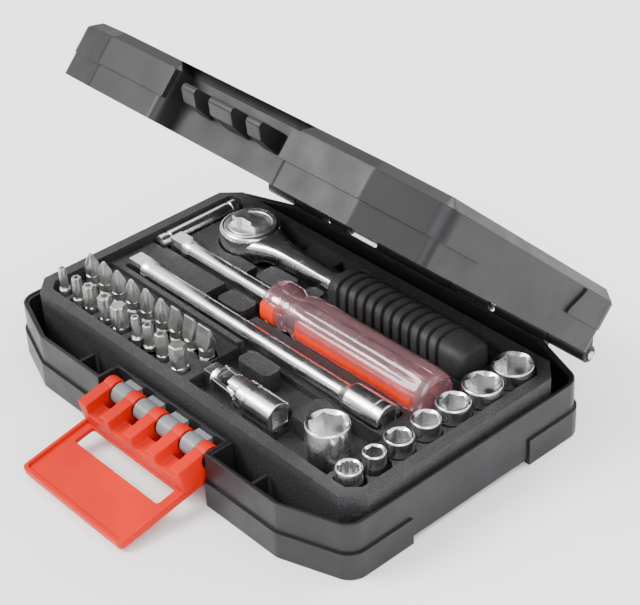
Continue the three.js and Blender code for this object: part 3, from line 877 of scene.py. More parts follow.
CASE = MouldedPlastic(
    "case_plastic", (0.011, 0.011, 0.012), "case_plastic", (0.36, 0.5), 1900, 0.06, 0.5, 0.34
)
TRAY = StippledPlastic("tray_plastic", (0.015, 0.015, 0.016), "tray_plastic")
LATCH_RED = MouldedPlastic(
    "latch_plastic", (0.58, 0.008, 0.001), "latch_plastic", (0.4, 0.52), 900, 0.03, 0.12, 0.15
)
CHROME = PlatedSteel("chrome_plate", (0.92, 0.92, 0.92), "chrome", (0.17, 0.3))
STEEL = GroundSteel("bit_steel", (0.56, 0.555, 0.54), "bit_steel", (0.34, 0.5))
DIAL_STEEL = GroundSteel("dial_steel", (0.86, 0.86, 0.86), "chrome", (0.36, 0.5))
RUBBER = GripRubber("grip_rubber", (0.024, 0.024, 0.025), "grip_rubber", (0.56, 0.72))
CLEAR = ClearPlastic("clear_handle", (0.94, 0.54, 0.6), "clear_red", 0.88, (0.05, 0.12))
ORANGE = MouldedPlastic(
    "core_orange", (0.82, 0.03, 0.001), "core_orange", (0.2, 0.32), 600, 0.02, 0.08, 0.25
)
GREY_FITTING = MouldedPlastic(
    "fitting_grey", (0.17, 0.175, 0.185), "case_plastic", (0.2, 0.32), 700, 0.02, 0.1
)


class Workshop:
    """Dresses finished pieces and hands them to the frame."""

    def __init__(self) -> None:
        """Start with no materials made."""
        self.made: dict[str, bpy.types.Material] = {}

    def material(self, finish: Finish) -> bpy.types.Material:
        """Material of a finish, built the first time it is asked for.

        Args:
            finish: The finish.

        Returns:
            Its material.
        """
        if finish.name not in self.made:
            self.made[finish.name] = finish.material()
        return self.made[finish.name]

    def deliver(
        self, piece: Piece, body: Body, finish: Finish, replaced: Sequence[str] = ()
    ) -> Piece:
        """Dress a piece, let it ride on its body and report it.

        Args:
            piece: The finished piece.
            body: Frame body it moves with.
            finish: Finish of its surface.
            replaced: Frame nodes that it stands for.

        Returns:
            The same piece.
        """
        piece.data.materials.clear()
        piece.data.materials.append(self.material(finish))
        piece.data.name = piece.name
        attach(piece, body.value)
        if replaced:
            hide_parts(*replaced)
        log.info("%s: %d faces, rides on %s", piece.name, len(piece.data.polygons), body.value)
        return piece


# ---------------------------------------------------------------- case
@dataclass
class CaseForm:
    """Plan shape shared by the base and the lid."""

    length: float = 190
    depth: float = 131
    corner_along: float = 27
    corner_across: float = 9.6
    recess_width: float = 61.4
    recess_depth: float = 9.3
    wall: float = 2.2
    hinge_y: float = 69.5
    hinge_z: float = 23.35

    def outline(self, inset: float, recess: bool = True) -> list[Point2]:
        """Plan outline of the case.

        Args:
            inset: How far it lies inside the case's own outline.
            recess: Whether the latch recess is taken out of the front.

        Returns:
            The outline, from the left front corner.
        """
        slope = math.hypot(self.corner_along, self.corner_across)
        x, y = self.length / 2 - inset, self.depth / 2 - inset
        shift_x = inset * (slope - self.corner_along) / self.corner_across
        shift_y = inset * (slope - self.corner_across) / self.corner_along
        cut_x = self.length / 2 - self.corner_along - shift_x
        cut_y = self.depth / 2 - self.corner_across - shift_y
        side = self.recess_width / 2 + inset
        back = -self.depth / 2 + self.recess_depth + inset
        front = [(-side, -y), (-side, back), (side, back), (side, -y)] if recess else []
        return [
            (-x, -cut_y), (-cut_x, -y), *front, (cut_x, -y), (x, -cut_y),
            (x, cut_y), (cut_x, y), (-cut_x, y), (-x, cut_y),
        ]

    def round_corners(self, piece: Piece, side: float, front: float, inset: float = 0) -> None:
        """Round the upright corner edges of a slab cut to the outline.

        Args:
            piece: The slab.
            side: Rounding at the side walls' corners.
            front: Rounding at the front and back walls' corners.
            inset: Inset of the slab's outline.
        """
        near_side = (self.length / 2 - inset - 0.5) * MM
        recess_reach = (self.recess_width / 2 + 6) * MM
        before_side = 75 * MM
        with editing(piece):
            select_where("EDGE", lambda e: upright(e) and abs(e.verts[0].co.x) > near_side)
            bpy.ops.mesh.bevel(offset=side * MM, segments=5, affect="EDGES")
            select_where(
                "EDGE",
                lambda e: upright(e) and recess_reach < abs(e.verts[0].co.x) < before_side
            )
            bpy.ops.mesh.bevel(offset=front * MM, segments=2, affect="EDGES")

    def round_recess(self, piece: Piece, mouth: float) -> None:
        """Round the two upright edges where the latch recess meets the front wall.

        Args:
            piece: The slab.
            mouth: Rounding of the edges.
        """
        front = (-self.depth / 2 + 0.2) * MM
        reach = (self.recess_width / 2 + 0.5) * MM
        with editing(piece):
            select_where(
                "EDGE",
                lambda e: upright(e) and e.verts[0].co.y < front and abs(e.verts[0].co.x) < reach
            )
            bpy.ops.mesh.bevel(offset=mouth * MM, segments=5, affect="EDGES")


@dataclass
class Guards:
    """Raised guards round the corners and along the front of a shell."""

    form: CaseForm
    proud: float = 1
    reach: float = 27
    curve: float = 0

    def end_zone(self, side: int, back: bool, low: float, high: float) -> Piece:
        """Block that keeps one guard, with a leaning or curved end face.

        Args:
            side: -1 for the left, 1 for the right.
            back: Whether it is a back guard.
            low: Lowest level.
            high: Highest level.

        Returns:
            The block.
        """
        form = self.form
        inner = form.depth / 2 - form.corner_across - self.reach
        outer = form.depth / 2 + (-1 if back else 3)
        way = 1 if back else -1
        start = form.length / 2 - form.corner_along if back else form.recess_width / 2
        rise = [i / 6 for i in range(7)]
        ease = [3 * t * t - 2 * t * t * t for t in rise]
        face = [
            (way * (inner + self.curve * e), low + (high - low) * t) for t, e in zip(rise, ease)
        ]
        outline = [*face, (way * outer, high), (way * outer, low)]
        ends = sorted((side * start, side * (form.length / 2 + 3)))
        return slab("zone", outline, ends[0], ends[1], Plane.YZ)

    def piece(self, name: str, low: float, high: float, edge: float = 0.7) -> Piece:
        """All four guards of one shell as one mesh.

        Args:
            name: Name of the piece.
            low: Lowest level.
            high: Highest level.
            edge: Rounding of the guards' edges.

        Returns:
            The guards.
        """
        parts: list[Piece] = []
        for side in (-1, 1):
            for back in (False, True):
                ring = slab(name, self.form.outline(-self.proud, recess=False), low, high)
                self.form.round_corners(ring, 5.4, 0.9, -self.proud)
                inside = slab("inside", self.form.outline(1.4, recess=False), low - 1, high + 1)
                cut(ring, inside)
                zone = self.end_zone(side, back, low - 1, high + 1)
                combine(ring, [zone], "INTERSECT")
                parts.append(ring)
        guards = gather(*parts)
        soften(guards, edge, 3, 40)
        guards.name = name
        return guards


@dataclass
class Barrel:
    """One stretch of hinge barrel."""

    start: float
    end: float


@dataclass
class Hinge:
    """Barrels of the rear hinge, shared out between the shells."""

    form: CaseForm
    radius: float = 3.4
    web: float = 8
    base_barrels: list[Barrel] = field(
        default_factory=lambda: [Barrel(-70, -52), Barrel(-21, 19.7), Barrel(43.5, 69.7)]
    )
    lid_barrels: list[Barrel] = field(
        default_factory=lambda: [
            Barrel(-88, -70.3), Barrel(-49, -38), Barrel(20, 40), Barrel(70, 88)
        ]
    )

    def barrel(self, name: str, place: Barrel, up: bool) -> Piece:
        """Barrel with its web to the shell's wall.

        Args:
            name: Name of the piece.
            place: Where it starts and ends.
            up: Whether it belongs to the lid.

        Returns:
            The barrel.
        """
        form = self.form
        y, z, r = form.hinge_y, form.hinge_z, self.radius
        length = place.end - place.start
        edge = 0.45
        profile = [
            (2.0, 0), (r - edge, 0), (r, edge), (r, length - edge), (r - edge, length),
            (2.0, length),
        ]
        tube = turned(name, profile, (place.start, y, z), Run.ALONG_X, 28)
        wall = form.depth / 2 - 1
        way = 1 if up else -1
        rim = z + way * 0.15
        outline = [
            (wall, rim), (y - 2.3, rim), (y - 0.6, z + way * (r - 0.3)),
            (wall, rim + way * self.web),
        ]
        plate = slab("web", outline, place.start, place.end, Plane.YZ)
        soften(plate, 0.35, 2)
        return gather(tube, plate)

    def set_for(self, name: str, up: bool) -> Piece:
        """All barrels of one shell.

        Args:
            name: Name of the piece.
            up: Whether they belong to the lid.

        Returns:
            The barrels as one mesh.
        """
        places = self.lid_barrels if up else self.base_barrels
        parts = [self.barrel(name, place, up) for place in places]
        return gather(*parts)

    def pin(self) -> Piece:
        """Steel pin through the barrels."""
        box = span("lid_hinge_pin")
        return turned_along(box, pin_profile(box.size.z / 2, 0, box.size.x, 0.4), "hinge_pin", 24)


@dataclass
class BaseShell:
    """Lower half of the case."""

    form: CaseForm
    rise: float = 23.2
    floor_under: float = 1.2
    floor_top: float = 3.4
    belt: float = 11
    lip: float = 1.1
    lip_drop: float = 0.7
    rib_place: float = 50
    rib_half: float = 0.7
    pivot_y: float = -61.5
    pivot_z: float = 18
    claw_width: float = 5.2
    claw_count: int = 5
    latch_width: float = 59

    def shell(self) -> Piece:
        """Tub with rounded corners, a stepped lip and an open inside."""
        tub = slab("base_tub", self.form.outline(0), self.floor_under, self.rise)
        self.form.round_corners(tub, 5, 0.9)
        top, under = (self.rise - 0.01) * MM, (self.floor_under + 0.01) * MM
        with editing(tub):
            select_where("EDGE", lambda e: all(vert.co.z < under for vert in e.verts))
            bpy.ops.mesh.bevel(offset=1.5 * MM, segments=3, affect="EDGES")
            select_where("FACE", lambda face: face.calc_center_median().z > top)
            bpy.ops.mesh.inset(thickness=self.lip * MM, depth=0)
            bpy.ops.mesh.extrude_region_move(
                TRANSFORM_OT_translate={"value": (0, 0, -self.lip_drop * MM)}
            )
            bpy.ops.mesh.inset(thickness=(self.form.wall - self.lip) * MM, depth=0)
            down = (self.floor_top - self.rise + self.lip_drop) * MM
            bpy.ops.mesh.extrude_region_move(TRANSFORM_OT_translate={"value": (0, 0, down)})
            tidy_normals()
        return soften(tub, 0.4, 2)

    def ribs(self) -> Piece:
        """Thin cross ribs in the two front wells."""
        front, back = -self.form.depth / 2 + 1, -53.8
        parts = []
        for x in (-self.rib_place, self.rib_place):
            rib = block(
                "well_ribs",
                (x - self.rib_half, front, self.floor_top - 0.3),
                (x + self.rib_half, back, self.rise - 5),
            )
            parts.append(soften(rib, 0.2, 1))
        return gather(*parts)

    def sole(self) -> Piece:
        """Flat pad in the middle of the underside."""
        pad = slab("sole_pad", corner_outline(-35, 35, -15, 15, 3), 0, self.floor_under + 1)
        return soften(pad, 0.3, 2)

    def latch_knuckles(self) -> Piece:
        """Rounded knuckles and the bar that the latch's claws hold."""
        pitch = (self.latch_width - self.claw_width) / (self.claw_count - 1)
        width = pitch - self.claw_width - 0.6
        back = -self.form.depth / 2 + self.form.recess_depth
        profile = pin_profile(4.2, 0, width, 0.5)
        first = -self.latch_width / 2 + self.claw_width / 2 + pitch / 2 - width / 2
        knuckle = turned(
            "latch_knuckles", profile, (first, self.pivot_y, self.pivot_z), Run.ALONG_X, 28
        )
        root = block(
            "root",
            (first, self.pivot_y, self.pivot_z - 3),
            (first + width, back + 1.1, self.pivot_z + 3),
        )
        gather(knuckle, soften(root, 0.3, 2))
        parts = [knuckle]
        for i in range(1, self.claw_count - 1):
            parts.append(copied(knuckle, "knuckle", (i * pitch, 0, 0)))
        half = self.form.recess_width / 2 + 1
        bar_profile = [(0, 0), (1.6, 0), (1.6, 2 * half), (0, 2 * half)]
        bar = turned("bar", bar_profile, (-half, self.pivot_y, self.pivot_z), Run.ALONG_X, 20)
        return gather(*parts, bar)

    def build(self, shop: Workshop) -> None:
        """Make and deliver the base's pieces.

        Args:
            shop: Workshop that dresses them.
        """
        shop.deliver(self.shell_with_hinge(), Body.BASE, CASE, ["base_shell"])
        guards = Guards(self.form).piece("base_guards", 0, self.belt)
        shop.deliver(polish(guards), Body.BASE, CASE)
        shop.deliver(polish(self.ribs()), Body.BASE, CASE)
        shop.deliver(polish(self.sole()), Body.BASE, CASE)
        shop.deliver(polish(self.latch_knuckles()), Body.BASE, GREY_FITTING)

    def shell_with_hinge(self) -> Piece:
        """Tub joined with its hinge barrels."""
        barrels = Hinge(self.form).set_for("base_barrels", up=False)
        return polish(gather(self.shell(), barrels))


@dataclass
class Hook:
    """One hook of the lid."""

    x: float
    width: float


@dataclass
class LidShell:
    """Upper half of the case, modelled closed and swung open."""

    form: CaseForm
    rim: float = 23.5
    rise: float = 23.3
    band: float = 3.3
    band_inset: float = 4
    belt: float = 9
    opening: float = 43
    hook_top: float = 40.4
    hook_height: float = 6
    hook_nose: float = -70.1
    hooks: tuple[Hook, ...] = (Hook(-17, 7), Hook(0, 12), Hook(17, 7))

    def shell(self) -> Piece:
        """Cover with a bevelled top band and an open inside."""
        form = self.form
        top = self.rim + self.rise
        shoulder = top - self.band
        cover = slab("lid_cover", form.outline(0), self.rim, shoulder)
        form.round_corners(cover, 3, 0.9)
        form.round_recess(cover, 3.4)
        near_top, near_rim = (shoulder - 0.01) * MM, (self.rim + 0.01) * MM
        with editing(cover):
            select_where("FACE", lambda face: face.calc_center_median().z > near_top)
            bpy.ops.mesh.inset(thickness=self.band_inset * MM, depth=self.band * MM)
            select_where("FACE", lambda face: face.calc_center_median().z < near_rim)
            bpy.ops.mesh.inset(thickness=form.wall * MM, depth=0)
            bpy.ops.mesh.extrude_region_move(
                TRANSFORM_OT_translate={"value": (0, 0, (shoulder - self.rim - 1) * MM)}
            )
            tidy_normals()
        high = (top - 0.2) * MM
        recess_wall = -form.depth / 2 + form.recess_depth + self.band_inset
        recess_reach = 40 * MM
        for vertex in cover.data.vertices:
            in_recess = abs(vertex.co.y - recess_wall * MM) < 0.3 * MM
            if vertex.co.z > high and in_recess and abs(vertex.co.x) < recess_reach:
                vertex.co.y -= (self.band_inset - 1) * MM
        return soften(cover, 0.5, 3)

    def hook_set(self) -> Piece:
        """Three hooks that the latch's window drops over."""
        wall = -self.form.depth / 2 + self.form.recess_depth
        top, height = self.hook_top, self.hook_height
        outline = [
            (wall + 1, top - height - 1.6), (wall + 1, top), (self.hook_nose + 0.8, top),
            (self.hook_nose, top - 0.8), (self.hook_nose, top - 2.4),
            (self.hook_nose + 4, top - height),
        ]
        parts = []
        for hook in self.hooks:
            half = hook.width / 2
            claw = slab("lid_hooks", outline, hook.x - half, hook.x + half, Plane.YZ)
            parts.append(soften(claw, 0.45, 2, 20))
        return gather(*parts)

    def build(self, shop: Workshop) -> None:
        """Make and deliver the lid's pieces, swung open.

        Args:
            shop: Workshop that dresses them.
        """
        form = self.form
        barrels = Hinge(form).set_for("lid_barrels", up=True)
        cover = gather(self.shell(), barrels)
        shoulder = self.rim + self.rise - self.band
        guards = Guards(form, curve=5).piece("lid_guards", self.rim + self.belt, shoulder - 0.4)
        hooks = self.hook_set()
        for piece, replaced in ((cover, ["lid_shell"]), (guards, []), (hooks, [])):
            swing(piece, -self.opening, form.hinge_y, form.hinge_z)
            shop.deliver(polish(piece), Body.LID, CASE, replaced)


@dataclass
class Latch:
    """Red latch, modelled shut with its plate upright, then swung down."""

    width: float = 59
    inner: float = -6.6
    plate: float = 2
    reach: float = 43.6
    lip: float = 1.3
    window_start: float = 14.6
    window_depth: float = 8.4
    window_width: float = 49
    block_start: float = 6.8
    claw_width: float = 5.2
    claw_count: int = 5
    claw_radius: float = 4.6
    claw_bore: float = 1.9
    notch: float = -1
    pivot_y: float = -61.5
    pivot_z: float = 18
    hang: float = 101

    def plate_piece(self) -> Piece:
        """Plate with rounded corners, its window and a lip round tip and sides."""
        half, outer = self.width / 2, self.inner - self.plate
        shape = corner_outline(-half, half, 3, self.reach, 2)
        plate = slab("latch_plate", shape, outer, self.inner, Plane.XZ)
        inside = corner_outline(-half + 1.5, half - 1.5, -2, self.reach - 1.7, 1.2)
        rim = slab("rim", shape, self.inner - 0.4, self.inner + self.lip, Plane.XZ)
        low = self.window_start - 0.4
        cut(
            rim,
            slab("hollow", inside, self.inner - 2, self.inner + 3, Plane.XZ),
            block("short", (-half - 1, self.inner - 2, 0), (half + 1, self.inner + 3, low)),
        )
        fuse(plate, rim)
        half_window = self.window_width / 2
        end = self.window_start + self.window_depth
        opening = corner_outline(-half_window, half_window, self.window_start, end, 1.2)
        cut(plate, slab("window", opening, outer - 2, self.inner + 2, Plane.XZ))
        return soften(plate, 0.35, 2, 40)

    def claw_block(self) -> list[Piece]:
        """Upright block along the window's edge with a row of open claws."""
        half = self.width / 2
        front = self.claw_radius - 0.4
        ledge = block(
            "ledge",
            (-half, self.inner - 0.2, self.block_start),
            (half, front, self.window_start - 0.4),
        )
        pitch = (self.width - self.claw_width) / (self.claw_count - 1)
        first = -half
        for i in range(self.claw_count - 1):
            low = first + self.claw_width + i * pitch
            shape = corner_outline(low, low + pitch - self.claw_width, self.notch, front + 4, 1.6)
            cut(ledge, slab("notch", shape, 0, self.window_start + 2))
        parts = [soften(ledge, 0.6, 3, 40)]
        outer_arc = [math.radians(a) for a in range(-60, 241, 20)]
        outer = [
            (self.claw_radius * math.cos(a), self.claw_radius * math.sin(a)) for a in outer_arc
        ]
        inner = [
            (self.claw_bore * math.cos(a), self.claw_bore * math.sin(a))
            for a in reversed(outer_arc)
        ]
        claw = slab("claw", [*outer, *inner], first, first + self.claw_width, Plane.YZ)
        arm = block(
            "arm",
            (first, self.inner - 0.2, 2.2),
            (first + self.claw_width, front, self.block_start + 0.6),
        )
        claw = gather(soften(claw, 0.4, 2, 40), soften(arm, 0.4, 2))
        parts.append(claw)
        for i in range(1, self.claw_count):
            parts.append(copied(claw, "claw", (i * pitch, 0, 0)))
        return parts

    def build(self, shop: Workshop) -> None:
        """Make and deliver the latch, hanging open.

        Args:
            shop: Workshop that dresses it.
        """
        latch = gather(self.plate_piece(), *self.claw_block())
        latch.name = "latch_moulding"
        swing(latch, self.hang, 0, 0)
        shift = Vector((0, self.pivot_y, self.pivot_z)) * MM
        latch.data.transform(Matrix.Translation(shift))
        shop.deliver(polish(latch), Body.LATCH, LATCH_RED, ["latch"])


@dataclass
class Tray:
    """Stippled insert with a pocket for every tool."""

    frame_node: Piece
    rounding: float = 0.35

    def build(self, shop: Workshop) -> None:
        """Round the frame's tray and deliver it.

        Args:
            shop: Workshop that dresses it.
        """
        tray = self.frame_node.copy()
        tray.data = self.frame_node.data.copy()
        tray.parent = None
        tray.name = "tray_moulding"
        bpy.context.scene.collection.objects.link(tray)
        for key in list(tray.keys()):
            del tray[key]
        with editing(tray):
            bpy.ops.mesh.select_all(action="SELECT")
            bpy.ops.mesh.remove_doubles(threshold=TRAY_WELD)
            bpy.ops.mesh.customdata_custom_splitnormals_clear()
            bpy.ops.mesh.select_all(action="SELECT")
            bpy.ops.mesh.dissolve_limited(angle_limit=math.radians(0.6))
            bpy.ops.mesh.normals_make_consistent(inside=False)
        soften(tray, self.rounding, 2, 28)
        shop.deliver(polish(tray, 30), Body.BASE, TRAY, ["tray_insert"])


# ---------------------------------------------------------------- drive parts
@dataclass
class DriveSquare:
    """Quarter inch drive square with its detent ball."""

    flats: float = 6.35
    ball: float = 1.15
    hole_flats: float = 6.55
    hole_depth: float = 9
    funnel: float = 0.35

    def male(self, start: Point3, length: float, run: Run, ball_at: float) -> Piece:
        """Square stub with chamfered end and a ball in one face.

        Args:
            start: Point on the axis at the free end.
            length: Length of the stub.
            run: Axis it runs along, away from the free end.
            ball_at: Distance of the ball from the free end.

        Returns:
            The stub.
        """
        half = self.flats / 2
        square = flats_outline(0, 0, self.flats, 4)
        small = flats_outline(0, 0, self.flats - 1.3, 4)
        stub = lofted("stub", [(small, 0), (square, 0.7), (square, length)])
        soften(stub, 0.3, 2, 40)
        profile = [(0, -0.5), (self.ball, -0.3), (self.ball * 0.8, 0.25), (0, 0.5)]
        ball = turned("ball", profile, (0, half, ball_at), Run.ALONG_Y, 16)
        gather(stub, ball)
        return settle(stub, start, run)

    def hole(self, start: Point3, run: Run) -> Piece:
        """Cutter for a female square, with a funnel at its mouth.

        Args:
            start: Point on the axis at the mouth.
            run: Axis it runs along, into the material.

        Returns:
            The cutter.
        """
        wide = flats_outline(0, 0, self.hole_flats + self.funnel, 4)
        square = flats_outline(0, 0, self.hole_flats, 4)
        steps = [(wide, -1), (wide, 0), (square, self.funnel), (square, self.hole_depth)]
        cutter = lofted("hole", steps)
        return settle(cutter, start, run)


@dataclass
class Extension:
    """Extension bar: drive square, slim bar and a cup with a square hole."""

    bar: float = 3.6
    cup: float = 6
    cup_length: float = 19.6
    square_length: float = 8.6
    drive: DriveSquare = field(default_factory=DriveSquare)

    def build(self, shop: Workshop) -> None:
        """Make and deliver the bar.

        Args:
            shop: Workshop that dresses it.
        """
        place = span("extension_bar")
        length = place.size.x
        start, knee, r, c = self.square_length - 0.6, length - self.cup_length, self.bar, self.cup
        profile = [
            (0, start), (3.5, start), (4.3, start + 1.0), (4.3, start + 3.4), (r, start + 4.6),
            (r, knee - 3), (r + 0.5, knee - 1), (c - 1.0, knee + 0.6), (c - 0.25, knee + 1.4),
            (c, knee + 2.3), (c, length - 4.6), (c - 0.35, length - 4.3),
            (c - 0.35, length - 3.7), (c, length - 3.4), (c, length - 0.4),
            (c - 0.4, length), (0, length),
        ]
        bar = turned_along(place, profile, "extension_bar_visual", 40)
        cut(bar, self.drive.hole(place.right, Run.BACK_X))
        gather(bar, self.drive.male(place.left, self.square_length, Run.ALONG_X, 4.2))
        shop.deliver(polish(bar), Body.EXTENSION, CHROME, ["extension_bar"])


@dataclass
class CrossRod:
    """Sliding rod with rounded ends and a groove near each."""

    groove: float = 0.35

    def build(self, shop: Workshop) -> None:
        """Make and deliver the rod.

        Args:
            shop: Workshop that dresses it.
        """
        place = span("t_bar_rod")
        r, length = place.size.z / 2, place.size.y
        g = r - self.groove
        profile = [
            (0, 0), (r - 0.9, 0), (r - 0.25, 0.3), (r, 0.9), (r, 3.4), (g, 3.7), (g, 4.7),
            (r, 5), (r, length - 5), (g, length - 4.7), (g, length - 3.7), (r, length - 3.4),
            (r, length - 0.9), (r - 0.25, length - 0.3), (r - 0.9, length), (0, length),
        ]
        start = (place.centre.x, place.low.y, place.centre.z)
        rod = turned("cross_rod", profile, start, Run.ALONG_Y, 32)
        shop.deliver(polish(rod), Body.T_BAR, CHROME, ["t_bar_rod"])


@dataclass
class SwivelJoint:
    """Universal joint: socket end, cross block and drive end."""

    radius: float = 6
    gap: float = 3.1
    cheek: float = 1.8
    pin: float = 1.3
    ear: float = 2.4
    drive: DriveSquare = field(default_factory=DriveSquare)

    def socket_end(self, centre: Vector) -> Piece:
        """Round end with a square hole and an upright fork.

        Args:
            centre: Crossing point of the two pins.

        Returns:
            The piece.
        """
        place = span("swivel_socket_end")
        r, length = self.radius, place.high.x - centre.x
        profile = [
            (0, -3), (r - 1.6, -3), (r - 0.5, -2), (r, 0), (r, 7.6), (r - 0.5, 8.2),
            (r - 0.5, 9.4), (r, 10), (r, length - 0.4), (r - 0.4, length), (0, length),
        ]
        end = turned("swivel_socket_visual", profile, tuple(centre), Run.ALONG_X, 40)
        mouth = block(
            "mouth",
            (centre.x - 8, centre.y - 9, centre.z - self.gap),
            (centre.x + 4.2, centre.y + 9, centre.z + self.gap),
        )
        throat = turned(
            "throat",
            [(0, -9), (self.gap, -9), (self.gap, 9), (0, 9)],
            (centre.x + 4.2, centre.y, centre.z),
            Run.ALONG_Y,
            24,
        )
        hole = self.drive.hole((place.high.x, centre.y, centre.z), Run.BACK_X)
        sides = []
        for side in (-1, 1):
            near, far = sorted((centre.y + side * self.ear, centre.y + side * 9))
            sides.append(
                block(
                    "side",
                    (centre.x - 8, near, centre.z - 9),
                    (centre.x + 4.4, far, centre.z + 9),
                )
            )
        cut(end, mouth, throat, hole, *sides)
        return soften(end, 0.2, 1, 40)

    def cross(self, centre: Vector) -> Piece:
        """Cross block with an upright and a level pin.

        Args:
            centre: Middle of the block.

        Returns:
            The piece.
        """
        half = self.gap - 0.4
        low = (centre.x - half, centre.y - half, centre.z - half)
        high = (centre.x + half, centre.y + half, centre.z + half)
        cube = soften(block("swivel_cross_visual", low, high), 0.5, 3)
        reach = self.gap + self.cheek - 0.2
        head = pin_profile(self.pin, -reach, reach, 0.3)
        longer = [(r, along * 1.04) for r, along in head]
        level = turned("level", head, tuple(centre), Run.ALONG_Y, 20)
        stem = turned("stem", longer, tuple(centre), Run.UP, 20)
        return gather(cube, level, stem)

    def drive_end(self, centre: Vector) -> Piece:
        """Square drive with a level fork.

        Args:
            centre: Crossing point of the two pins.

        Returns:
            The piece.
        """
        place = span("swivel_drive_end")
        reach = centre.x - place.low.x
        profile = [
            (0, -reach + 6.4), (4.2, -reach + 6.4), (5, -reach + 7.2), (5.2, -10.4), (4.6, -8.6),
            (0, -8.6),
        ]
        hub = turned("swivel_drive_visual", profile, tuple(centre), Run.ALONG_X, 40)
        parts = []
        for side in (-1, 1):
            inner, outer = sorted((side * self.gap, side * (self.gap + self.cheek)))
            tip = [math.radians(a) for a in range(-90, 91, 18)]
            arc = [
                (centre.x + 0.2 + 2.3 * math.cos(a), centre.z + 2.3 * math.sin(a)) for a in tip
            ]
            outline = [(centre.x - 9.6, centre.z - 3.2), *arc, (centre.x - 9.6, centre.z + 3.2)]
            cheek = slab("cheek", outline, centre.y + inner, centre.y + outer, Plane.XZ)
            parts.append(soften(cheek, 0.35, 2, 40))
        start = (place.low.x, centre.y, centre.z)
        parts.append(self.drive.male(start, 8, Run.ALONG_X, 3.8))
        return gather(hub, *parts)

    def build(self, shop: Workshop) -> None:
        """Make and deliver the joint's three pieces.

        Args:
            shop: Workshop that dresses them.
        """
        centre = span("swivel_cross").centre
        socket = polish(self.socket_end(centre))
        shop.deliver(socket, Body.SWIVEL_SOCKET, CHROME, ["swivel_socket_end"])
        cross = polish(self.cross(centre))
        shop.deliver(cross, Body.SWIVEL_CROSS, STEEL, ["swivel_cross"])
        drive = polish(self.drive_end(centre))
        shop.deliver(drive, Body.SWIVEL_DRIVE, CHROME, ["swivel_drive_end"])


